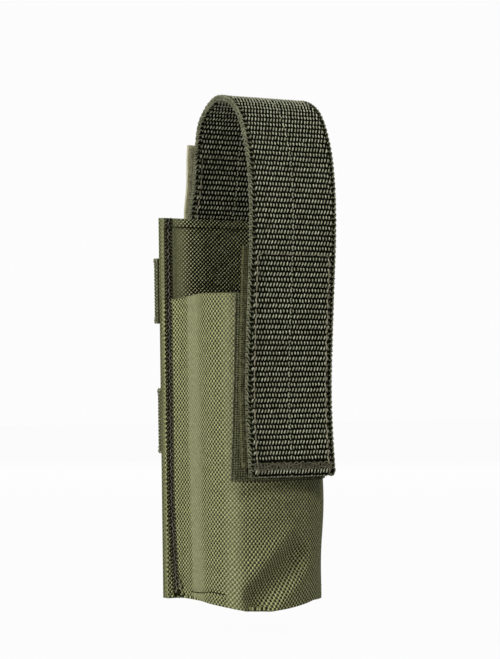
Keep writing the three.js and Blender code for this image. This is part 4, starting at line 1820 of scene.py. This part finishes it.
@dataclass
class FlapStrap:
    """The closing strap: its tail in the sleeve, its arch, its front, and its hook tapes.

    Attributes:
        lit_root_ground: the ground of the tape at the strap's root, painted light as the side lamp's
            light on it.
        tacking: the finish of the threads that hold the turned end.
        webbing: the strap's thickness.
        tail: how far it goes down into the sleeve.
        rise: how high the arch stands over the panel.
        bow: how far the front stands off where it leaves the arch.
        flare: how far its end stands off.
        drop: how far the end hangs below the panel's top.
        fastened_drop: how far down the front lies on its tape.
        peel_drop: how far down the arch ends in front.
        turned: the length of the turned end.
        ground: the thickness of the webbing between its floats.
        crest: how far out the floats reach.
        arch_shares: the arch's knots, as shares of its reach forward and of its rise.
    """

    yarn: Material
    edge_yarn: Material
    core: Material
    thread: Material
    hooks: Material
    hook_ground: Material
    lit_root_ground: Material
    tacking: Material
    webbing: float = 2.2
    tail: float = 76.0
    rise: float = 46.0
    bow: float = 3.1
    flare: float = 2.7
    drop: float = 99.7
    fastened_drop: float = 63.0
    peel_drop: float = 8.0
    turned: float = 5.0
    depth: float = 38.0
    ground: float = 1.4
    crest: float = 1.08
    arch_shares: tuple[Span, ...] = (
        (0.0, 0.0), (0.002, 0.06), (0.062, 0.28), (0.098, 0.565), (0.18, 0.835),
        (0.445, 1.0), (0.74, 0.9), (0.91, 0.61), (0.985, 0.26),
    )

    def route(self) -> Route:
        """The webbing's route from its foot in the sleeve over the arch and round its end.

        Returns:
            The route.
        """
        half = self.webbing / 2
        fastened = -(self.depth + 3 * SEAM_GAP + 2.0 + self.webbing) + half
        sleeve = CLOTH + SEAM_GAP + half
        reach = sleeve - (fastened - self.bow)
        top = PANEL_HEIGHT + SEAM_GAP
        arch = [(sleeve - a * reach, top + b * (self.rise - half)) for a, b in self.arch_shares]
        peel = (fastened - self.bow, PANEL_HEIGHT - self.peel_drop)
        held = (fastened, PANEL_HEIGHT - self.fastened_drop)
        end = (fastened - self.flare, PANEL_HEIGHT - self.drop + self.webbing)
        upper = (fastened - self.bow / 2, (peel[1] + held[1]) / 2 + self.bow)
        lower = (fastened - self.flare / 4, (held[1] + end[1]) / 2)
        points = [(sleeve, PANEL_HEIGHT - self.tail + i * self.tail / 30) for i in range(30)]
        points += self.curve([*arch, peel, upper, held, lower, end])
        last, before = np.array(points[-1]), np.array(points[-2])
        down = (last - before) / np.linalg.norm(last - before)
        inward = np.array([-down[1], down[0]])
        for angle in np.linspace(0, math.pi, 10)[1:]:
            turn = inward * half * (1 - math.cos(angle)) + down * half * math.sin(angle)
            points.append(tuple(last + turn))
        for step in np.linspace(0, self.turned, 6)[1:]:
            points.append(tuple(last + inward * self.webbing - down * step))
        return Route(points)

    @staticmethod
    def curve(knots: Sequence[Span]) -> list[Span]:
        """A smooth curve through the knots, at even steps.

        Args:
            knots: the points to pass.

        Returns:
            The curve's points.
        """
        padded = np.array([knots[0], *knots, knots[-1]])
        points = []
        for i in range(len(knots) - 1):
            a, b, c, d = padded[i : i + 4]
            square, cube = 2 * a - 5 * b + 4 * c - d, 3 * b - a - 3 * c + d
            for t in np.linspace(0, 1, 24, endpoint=False):
                points.append(0.5 * (2 * b + (c - a) * t + square * t**2 + cube * t**3))
        return [tuple(p) for p in [*points, padded[-2]]]

    def build(self) -> None:
        """Builds the strap's pieces."""
        route = self.route()
        middle = route.along(PANEL_HEIGHT + self.rise - 1.6, rising=True)
        root = route.along(PANEL_HEIGHT + 27.0, rising=True)
        nodes = ["flap_tail_webbing", "flap_arch_webbing"]
        self.stretch("lower", route, (0.3, middle), [(root, middle)], [(0.3, middle)], nodes)
        fold = route.along(54.0, rising=False), route.along(51.9, rising=False)
        outer = [(middle, fold[0]), (fold[1], route.length)]
        inner = [(middle, route.along(136.6, rising=False))]
        nodes = ["flap_front_webbing"]
        self.stretch("upper", route, (middle, route.length), outer, inner, nodes)
        self.tapes(route)
        self.front_stitching(route)
        self.rear_stitching(route)

    def join(self, piece: Object) -> None:
        """Bakes a piece's placement into its mesh; the piece rides on no body.

        Args:
            piece: the piece.
        """
        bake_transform(piece)

    def stretch(
        self, name: str, route: Route, span: Span, outer: list[Span], inner: list[Span],
        nodes: list[str],
    ) -> None:
        """Builds one half of the webbing.

        Args:
            name: which half, lower or upper.
            route: what it follows.
            span: where it starts and ends along the route.
            outer: the stretches of its outer side that have floats.
            inner: those of its inner side.
            nodes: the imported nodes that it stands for.
        """
        lower = name == "lower"
        start, end = span
        ground = slab(FLAP_WIDTH - 0.7, end - start, self.ground, edge=0.6, steps=150)
        ground.transform(Matrix.Translation((0, start, 0)))
        ground = moved(ground, route.bend)
        self.join(put(f"flap_{name}_ground", ground, self.core, None, Slot.FLAP, nodes))
        face = self.ground / 2
        floats = [
            FLAP_WEAVE.floats(outer, face, 1, 41 + lower),
            FLAP_WEAVE.floats(inner, face, -1, 51 + lower),
        ]
        floats = moved(merged(*floats), route.bend)
        self.join(put(f"flap_{name}_yarns", floats, self.yarn, None, Slot.FLAP))
        bound = (start, end - (0.4 if lower else self.turned + 1.2))
        edges = FLAP_WEAVE.selvage(bound, FLAP_WIDTH / 2 - 0.55, 61 + lower)
        edges = moved(edges, route.bend)
        self.join(put(f"flap_{name}_selvages", edges, self.edge_yarn, None, Slot.FLAP))

    def tape(
        self, name: str, route: Route, span: Span, skew: Place, side: int, nodes: list[str]
    ) -> list[Object]:
        """Builds a hook tape on one side of the strap.

        Args:
            name: of the tape.
            route: what it follows.
            span: where it starts and ends along the route.
            skew: how far to the right it lies at its start, near its end and at its end.
            side: 1 for the strap's outer side and -1 for its inner one.
            nodes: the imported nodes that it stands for.

        Returns:
            The tape's ground and its hooks.
        """
        start, end = span
        base = self.webbing / 2 + SEAM_GAP
        width = FLAP_WIDTH + (1.6 if side > 0 else 0.0)
        # painted light: the root tape's ground is painted light as lit by the side lamp, the front
        # tape's ground dark as shade
        finish = self.lit_root_ground if side > 0 else self.hook_ground
        strip = slab(width, end - start, 1.1, edge=0.3, steps=80, across=10)
        strip.transform(Matrix.Translation((0, start, side * (base + 0.5))))

        def askew(flat: np.ndarray) -> np.ndarray:
            """Lays the tape a little out of line, then bends it along the route."""
            share = (flat[:, 1] - start) / (end - start)
            return route.bend(slid(flat, np.interp(share, (0.0, 0.72, 1.0), skew)))

        ground = put(f"{name}_ground", moved(strip, askew), finish, None, Slot.HOOK, nodes)
        rng = np.random.default_rng(70 + len(name))
        length = end - start - 1.0
        hooks = Pile(pitch=1.45, radius=0.3, tilt=0.12).over(rng, FLAP_WIDTH - 2.0, length)
        upright = Matrix.Diagonal((side, 1, side, 1))
        hooks.transform(Matrix.Translation((0, start + 0.5, side * (base + 0.95))) @ upright)
        fringe = Pile(pitch=0.95, radius=0.4, tilt=0.7, filament=0.16).over(rng, 2.4, length)
        outwards = Matrix.Diagonal((-side, 1, -side, 1))
        margin = (1.0 - width / 2, start + 0.5, side * (base - 0.06))
        fringe.transform(Matrix.Translation(margin) @ outwards)
        fibres = moved(merged(hooks, fringe), askew)
        return [ground, put(f"{name}_hooks", fibres, self.hooks, None, Slot.HOOK)]

    def tapes(self, route: Route) -> None:
        """Builds the hook tapes of the tail and arch, and of the front.

        Args:
            route: the webbing's route.
        """
        span = (
            route.along(PANEL_HEIGHT - 72.0, rising=True),
            route.along(PANEL_HEIGHT + 28.0, rising=True),
        )
        nodes = ["tail_hook_tape", "arch_hook_tape"]
        for piece in self.tape("rear_hook_tape", route, span, (0.0, -0.1, -1.5), 1, nodes):
            self.join(piece)
        foot = PANEL_HEIGHT - self.drop + self.turned + SEAM_GAP + self.webbing
        span = (route.along(foot + 80.4, rising=False), route.along(foot - 3.2, rising=False))
        nodes = ["flap_hook_tape"]
        for piece in self.tape("front_hook_tape", route, span, (-1.9, -1.4, -1.8), -1, nodes):
            self.join(piece)

    @property
    def stitch_lines(self) -> Span:
        """How far from the middle the tapes' stitches run, and how far out they lie."""
        return FLAP_WIDTH / 2 - 3.3, self.crest + 0.06

    def front_stitching(self, route: Route) -> None:
        """Sews the outline of the front's tape, and the threads across the turned end.

        Args:
            route: the webbing's route.
        """
        edge, face = self.stitch_lines
        top, foot = route.along(133.2, rising=False), route.along(52.6, rising=False)
        box = [
            straight((side * edge, top + 1.6, face), (side * edge, foot + 3.0, face), 60)
            for side in (-1, 1)
        ]
        box.append([
            Vector((-edge, top + 1.6, face)), Vector((-edge + 0.5, top + 0.5, face)),
            *straight((-edge + 1.8, top, face), (edge - 1.8, top, face), 16),
            Vector((edge - 0.5, top + 0.5, face)), Vector((edge, top + 1.6, face)),
        ])
        places = [p for line in box for p in stitch_run(line, pitch=3.1, facing=UPWARD)]
        thread = moved(sewn(places, 91, length=2.8, width=0.5, rise=0.34), route.bend)
        self.join(put("front_tape_thread", thread, self.thread, None, Slot.FLAP))
        rng = np.random.default_rng(83)
        reach, sunk = edge + 1.6, face - 0.16
        tangle = []
        for row in range(5):
            level = foot - 1.2 + row * 0.56
            line = straight((-reach, level, sunk), (reach, level, sunk), 12)
            for place in stitch_run(line, pitch=1.3, facing=UPWARD, swing=24):
                tangle.append(place @ Matrix.Rotation(rng.normal(0, 0.4), 4, "Z"))
        tangled = moved(sewn(tangle, 93, length=1.9, width=0.44, rise=0.28), route.bend)
        self.join(put("turned_end_tacking", tangled, self.tacking, None, Slot.FLAP))

    def rear_stitching(self, route: Route) -> None:
        """Sews the outline of the root's tape, which shows on the strap's inner side.

        Args:
            route: the webbing's route.
        """
        edge, face = self.stitch_lines
        high = route.along(PANEL_HEIGHT + 24.0, rising=True)
        low = route.along(PANEL_HEIGHT - 60.0, rising=True)
        lines = [straight((-edge, high, -face), (edge, high, -face), 12)]
        lines += [
            straight((side * edge, low, -face), (side * edge, high, -face), 60) for side in (-1, 1)
        ]
        places = [p for line in lines for p in stitch_run(line, pitch=3.1, facing=-UPWARD)]
        thread = moved(sewn(places, 92, length=2.7, width=0.5, rise=0.26), route.bend)
        self.join(put("rear_tape_thread", thread, self.thread, None, Slot.FLAP))


# Attachment strap and snap

@dataclass
class AttachmentStrap:
    """The strap that hangs behind the rows: webbing, stiffener and lining, sewn at the top.

    Attributes:
        foot: the height of its free end.
        hinge: the height at which it bends.
        tip: the rounding of its free corners.
        margin: how much narrower the stiffener is on each side.
        webbing: where the webbing's faces lie.
        stiffener: where the stiffener's faces lie.
        lining: where the lining's faces lie.
        sewn_face: where the front of the sewn end lies.
    """

    yarn: Material
    core: Material
    cloth: Material
    plastic: Material
    thread: Material
    width: float = 25.4
    foot: float = 6.0
    hinge: float = 134.0
    tip: float = 5.0
    margin: float = 2.6
    webbing: Span = (14.4, 16.0)
    stiffener: Span = (13.3, 14.1)
    lining: Span = (12.3, 13.0)
    sewn_face: float = 8.1

    def shaped(self, flat: np.ndarray, width: float) -> np.ndarray:
        """Rounds the tip of a flat strap whose free end is at Y = 0.

        Args:
            flat: rows of flat points.
            width: the ply's width.

        Returns:
            The shaped points.
        """
        radius = self.tip - (self.width - width) / 2
        short = np.clip(radius - flat[:, 1], 0, radius)
        narrow = radius - np.sqrt(radius**2 - short**2)
        x = flat[:, 0] * (1 - narrow / (width / 2))
        return np.stack([x, flat[:, 1], flat[:, 2]], axis=1)

    def stood(self, mesh: Mesh, width: float, foot: float, faces: Span) -> Mesh:
        """Shapes the tip of a flat ply and hangs it, its upper side to the rear.

        Args:
            mesh: the flat ply.
            width: its width.
            foot: the height of its free end.
            faces: where its two faces lie.

        Returns:
            The same mesh.
        """
        middle = sum(faces) / 2

        def hang(flat: np.ndarray) -> np.ndarray:
            """Rounds the tip and turns the ply upright."""
            x, y, z = self.shaped(flat, width).T
            return np.stack([x, middle + z, foot + y], axis=1)

        return moved(mesh, hang)

    def build(self) -> None:
        """Builds the plies, their edge stitching and the sewn end."""
        length = self.hinge - self.foot
        inner_width = self.width - 2 * self.margin

        def webbed(mesh: Mesh) -> Mesh:
            """Hangs a part of the webbing."""
            return self.stood(mesh, self.width, self.foot, self.webbing)

        ground = webbed(slab(self.width - 0.5, length, 1.1, edge=0.4, steps=120))
        node = "attachment_strap_webbing"
        put("strap_ground", ground, self.core, Body.STRAP, Slot.ROWS, [node])
        floats = STRAP_WEAVE.floats([(0.8, length - 0.3)], height=0.42, face=1, seed=201)
        edges = STRAP_WEAVE.selvage((1.2, length - 0.3), self.width / 2 - 0.5, 205)
        yarns = webbed(merged(floats, edges))
        put("strap_yarns", yarns, self.yarn, Body.STRAP, Slot.ROWS)
        ply = slab(inner_width, length - self.margin, 0.8, edge=0.25, steps=60)
        ply = self.stood(ply, inner_width, self.foot + self.margin, self.stiffener)
        node = "attachment_strap_stiffener"
        put("strap_stiffener", ply, self.plastic, Body.STRAP, Slot.PLASTIC, [node])
        ply = slab(self.width - 0.3, length, 0.7, edge=0.25, steps=60)
        ply = self.stood(ply, self.width, self.foot, self.lining)
        node = "attachment_strap_lining"
        put("strap_lining", ply, self.cloth, Body.STRAP, Slot.CLOTH, [node])
        face, edge = 0.78, self.width / 2 - 2.2
        places = []
        for side in (-1, 1):
            line = straight((side * edge, 3.2, face), (side * edge, length - 1, face), 60)
            places += stitch_run(line, pitch=3.1, facing=UPWARD)
        line = straight((-8.5, 2.4, face), (8.5, 2.4, face), 10)
        places += stitch_run(line, pitch=3.0, facing=UPWARD)
        thread = webbed(sewn(places, 211, length=2.6, width=0.5, rise=0.25))
        put("strap_thread", thread, self.thread, Body.STRAP, Slot.ROWS)
        self.sewn_end()

    def sewn_end(self) -> None:
        """Builds the top of the strap, which slopes in to the panel and is sewn down."""
        foot = self.hinge + SEAM_GAP
        total = self.webbing[1] - self.lining[0]
        rear = self.sewn_face + total
        corners = [(self.webbing[1], foot), (rear, foot + 3.4), (rear, PANEL_HEIGHT - 3.0)]
        points = np.array(refined([(y - total / 2, z) for y, z in corners], 11))
        for _ in range(6):
            points[1:-1] = (points[:-2] + 2 * points[1:-1] + points[2:]) / 4
        route = Route(points)
        ground = slab(self.width - 0.5, route.length, total - 0.6, edge=0.6, steps=24)
        ground = moved(ground, route.bend)
        node = "attachment_strap_sewn_end"
        put("strap_end_ground", ground, self.core, Body.POUCH, Slot.ROWS, [node])
        yarns = STRAP_WEAVE.floats([(0.2, route.length)], total / 2 - 0.38, face=1, seed=221)
        yarns = moved(yarns, route.bend)
        put("strap_end_yarns", yarns, self.yarn, Body.POUCH, Slot.ROWS)
        places = []
        for along in (5.6, 9.6):
            line = straight((-11.0, along, total / 2), (11.0, along, total / 2), 12)
            places += stitch_run(line, pitch=1.5, facing=UPWARD, swing=70)
        thread = moved(sewn(places, 231, length=2.0, width=0.55, rise=0.28), route.bend)
        put("strap_end_thread", thread, self.thread, Body.POUCH, Slot.ROWS)


Profile = tuple[Span, ...]


@dataclass
class Snap:
    """The snap fastener: stud and post on the back, socket and cap on the strap.

    Attributes:
        stud: the stud's (radius, Y) corners, with its rounded head.
        post: the post's corners, its flange in front of the rear panel.
        socket: the socket's corners, whose mouth closes round the stud's head.
        shank: the cap's corners up to its rim.
        dome: the radius of the cap's dome, where it starts and how high it is.
        bevel: the rounding of every corner.
    """

    metal: Material
    height: float = 18.0
    stud: Profile = (
        (2.2, 8.1), (5.4, 8.1), (5.4, 8.7), (2.8, 8.7), (2.8, 9.2),
        (3.3, 9.9), (3.3, 10.4), (2.8, 10.9), (2.2, 10.9),
    )
    post: Profile = ((0.0, 5.8), (5.0, 5.8), (5.0, 6.3), (1.9, 6.3), (1.9, 10.9), (0.0, 10.9))
    socket: Profile = (
        (3.65, 9.0), (5.5, 9.0), (6.0, 9.5), (6.0, 12.0), (2.1, 12.0), (2.1, 11.2), (3.65, 11.2),
    )
    shank: Profile = ((0.0, 11.5), (1.8, 11.5), (1.8, 16.3), (7.4, 16.3))
    dome: Place = (7.4, 16.8, 1.1)
    bevel: float = 0.12

    def turned(self, name: str, profile: Sequence[Span], body: Body, node: str) -> None:
        """Turns a closed profile about the snap's axis.

        Args:
            name: of the piece.
            profile: its (radius, Y) corners in order.
            body: what it rides on.
            node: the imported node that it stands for.
        """
        work = bmesh.new()
        verts = [work.verts.new((radius, y, 0)) for radius, y in profile]
        loop = verts if profile[0][0] == 0 else verts + verts[:1]
        for a, b in zip(loop, loop[1:]):
            work.edges.new((a, b))
        sharp = [v for v in verts if len(v.link_edges) == 2 and v.co.x > 0]
        bmesh.ops.bevel(
            work, geom=sharp, offset=self.bevel, segments=2, affect="VERTICES", profile=0.5,
            material=-1,
        )
        bmesh.ops.spin(
            work, geom=work.verts[:] + work.edges[:], cent=(0, 0, 0), axis=REARWARD,
            dvec=(0, 0, 0), angle=math.tau, steps=56, use_merge=True,
        )
        bmesh.ops.remove_doubles(work, verts=work.verts, dist=0.001)
        bmesh.ops.recalc_face_normals(work, faces=work.faces)
        bmesh.ops.translate(work, vec=(0, 0, self.height), verts=work.verts)
        put(name, keep(work), self.metal, body, Slot.BRASS, [node], crease=30)

    def build(self) -> None:
        """Builds the four pieces."""
        radius, foot, rise = self.dome
        angles = np.linspace(0, math.pi / 2, 12)[:-1]
        dome = [(radius * math.cos(a), foot + rise * math.sin(a)) for a in angles]
        cap = [*self.shank, *dome, (0.0, foot + rise)]
        self.turned("stud", self.stud, Body.POUCH, "snap_stud")
        self.turned("post", self.post, Body.POUCH, "snap_post")
        self.turned("socket", self.socket, Body.STRAP, "snap_socket")
        self.turned("cap", cap, Body.STRAP, "snap_cap")


# Studio

@dataclass(frozen=True)
class Lamp:
    """A soft square lamp: its place in metres, the size of its side and its power in watts."""

    name: str
    place: Place
    size: float
    power: float

    def hang(self, target: Vector) -> None:
        """Hangs the lamp so that it faces the target.

        Args:
            target: the point that the lamp faces.
        """
        light = bpy.data.lights.new(self.name, "AREA")
        light.shape, light.size, light.energy = "SQUARE", self.size, self.power
        holder = bpy.data.objects.new(self.name, light)
        holder.location = self.place
        aim = target - Vector(self.place)
        holder.rotation_euler = aim.to_track_quat("-Z", "Y").to_euler()
        bpy.context.scene.collection.objects.link(holder)


@dataclass
class Studio:
    """Pale floor, white surroundings, soft lamps and the photograph's camera."""

    lamps: tuple[Lamp, ...] = (
        Lamp("key", (-1.34, -0.24, 0.2), 0.5, 18.0), Lamp("front", (-0.06, -1.17, 0.96), 0.26, 9.6),
        Lamp("rear", (0.7, 1.2, 0.5), 1.0, 9.0),
    )
    lit_point: Place = (0, -0.02, -0.03)
    camera_place: Place = (-0.4304, -0.7677, -0.0309)
    camera_turn: float = -30.0
    lens: float = 120.3
    film: float = 36.0
    shift: float = 0.0615
    soft_light: float = 0.07
    white: float = 0.975
    floor_drop: float = 0.012
    floor_size: float = 3.0
    floor_white: float = 0.96

    def build(self) -> None:
        """Sets up the studio."""
        bpy.context.scene.view_settings.view_transform = "Standard"
        self.camera()
        self.world()
        self.floor()
        for lamp in self.lamps:
            lamp.hang(Vector(self.lit_point))

    def camera(self) -> None:
        """Places the camera at the photograph's angle."""
        camera = bpy.data.cameras.new("camera")
        camera.lens, camera.sensor_width = self.lens, self.film
        camera.shift_y = self.shift
        camera.clip_start = 0.01
        holder = bpy.data.objects.new("camera", camera)
        holder.location = self.camera_place
        holder.rotation_euler = (math.pi / 2, 0, math.radians(self.camera_turn))
        bpy.context.scene.collection.objects.link(holder)
        bpy.context.scene.camera = holder

    @staticmethod
    def seen(tree: Tree) -> Value:
        """One for a ray that comes from the camera, a mirror or glass.

        Args:
            tree: the world's tree.

        Returns:
            The value, 0 or 1.
        """
        camera = tree.node("ShaderNodeLightPath", {}, {}, "Is Camera Ray")
        glossy, clear = camera.beside("Is Glossy Ray"), camera.beside("Is Transmission Ray")
        return camera.larger(glossy).larger(clear)

    def world(self) -> None:
        """Makes the surroundings white to the eye and soft to the pouch."""
        world = bpy.data.worlds.new("surroundings")
        bpy.context.scene.world = world
        tree = Tree(world)
        soft, white = (
            tree.node("ShaderNodeBackground", {}, {"Color": (1, 1, 1, 1), "Strength": strength})
            for strength in (self.soft_light, self.white)
        )
        mixed = tree.node("ShaderNodeMixShader", {}, {0: self.seen(tree), 1: soft, 2: white})
        tree.node("ShaderNodeOutputWorld", {}, {"Surface": mixed})

    def floor(self) -> None:
        """Lays the pale floor a little below the foot."""
        work = bmesh.new()
        bmesh.ops.create_grid(work, x_segments=4, y_segments=4, size=self.floor_size)
        low = CAD_BOX[0][2] - self.floor_drop
        bmesh.ops.translate(work, vec=(0, 0, low), verts=work.verts)
        mesh = keep(work, "floor")
        tree = Tree.finish("pale_floor")
        pale = tree.blend(tree.noise(scale=6, detail=2), (190, 190, 189), (196, 196, 196))
        matt = tree.node("ShaderNodeBsdfDiffuse", {}, {"Color": pale})
        bright = tree.node("ShaderNodeEmission", {}, {"Strength": 1.0})
        share = self.seen(tree) * self.floor_white
        lit = tree.node("ShaderNodeMixShader", {}, {0: share, 1: matt, 2: bright})
        tree.node("ShaderNodeOutputMaterial", {}, {"Surface": lit})
        mesh.materials.append(tree.owner)
        floor = bpy.data.objects.new("floor", mesh)
        bpy.context.scene.collection.objects.link(floor)


def main() -> None:
    """Builds the pouch and the studio."""
    logging.basicConfig(level=logging.INFO, format="%(name)s %(message)s")
    # painted light: the inner panel's warp is painted bright as the key lamp's glint on its crowns,
    # its weft near black as shade, and its edges lighter where the front lamp reaches past the strap
    panel_cloth = PlainWeave(
        "olive_panel_cloth", lit_warp=(242, 244, 186), shaded_weft=(7, 8, 3), across=0.84, along=0.80,
        step=(0.08, 0.55), relief=0.3, shine=0.03, tight_lit=0.6, gather=0.0, ridge=-40.0,
    )
    rear_cloth = PlainWeave(
        "olive_rear_cloth", lit_warp=(124, 126, 86), shaded_weft=(62, 64, 36), across=0.84, along=0.80,
        relief=0.2, tight_lit=-40.0, ridge=-40.0,
    ).material()
    thread = Yarn("olive_thread", (116, 114, 88), (80, 78, 56), filament=0.2).material()
    pile = Yarn("loop_pile", (150, 152, 120), (62, 64, 46)).material()
    loop_ground = Core("loop_tape_ground", (18, 19, 11), (112, 114, 84), pitch=0.9).material()
    row_yarn = Yarn("row_yarn", (156, 156, 128), (112, 113, 86)).material()
    row_core = Core("row_core", (34, 35, 22), (88, 88, 62), pitch=0.6).material()

    body = PouchBody(
        cloth=PlainWeave("olive_cloth").material(), thread=thread,
        # painted shade: the sunk stitches' finish is near black as the shade in their line
        shade=Core("sunk_stitch_painted_shade", (14, 15, 9), (26, 27, 17)).material(), pile=pile,
        ground=loop_ground, plan=BodyPlan(),
    )
    body.build()
    BackPanel(
        cloth=panel_cloth.material(), rear_cloth=rear_cloth, thread=thread,
        seam_thread=Yarn("seam_thread", (112, 107, 98), (64, 61, 54), filament=0.2).material(),
        # painted shade: the seam channel is painted near black as the shade in the stitched groove
        dark=Core("seam_channel_painted_shade", (6, 6, 3), (46, 46, 29), pitch=0.6).material(), pile=pile,
        ground=loop_ground, body=body,
    ).build()
    AttachmentRows(yarn=row_yarn, core=row_core, thread=thread).build()
    FlapStrap(
        yarn=Yarn("webbing_yarn", (196, 198, 170), (148, 150, 122)).material(),
        edge_yarn=Yarn("selvage_yarn", (140, 141, 112), (84, 85, 62)).material(),
        core=Core("webbing_core", (13, 14, 9), (27, 28, 19)).material(),
        thread=Yarn("flap_thread", (138, 131, 108), (90, 85, 68), filament=0.2).material(),
        hooks=Yarn("hooks", (134, 132, 98), (66, 66, 42)).material(),
        hook_ground=Core("hook_tape_ground", (22, 23, 12), (108, 108, 78), pitch=0.8).material(),
        # painted highlight: the root tape's ground is painted pale as the side lamp's light on it
        lit_root_ground=Core("lit_root_tape_ground", (150, 146, 116), (182, 178, 148), pitch=0.5).material(),
        tacking=Yarn("tacking_thread", (114, 111, 86), (66, 64, 46), filament=0.2).material(),
    ).build()
    AttachmentStrap(
        yarn=row_yarn, core=row_core, cloth=rear_cloth,
        plastic=Plastic("black_plastic").material(), thread=thread,
    ).build()
    Snap(metal=Metal("blackened_brass").material()).build()
    Studio().build()
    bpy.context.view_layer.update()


if __name__ == "__main__":
    main()
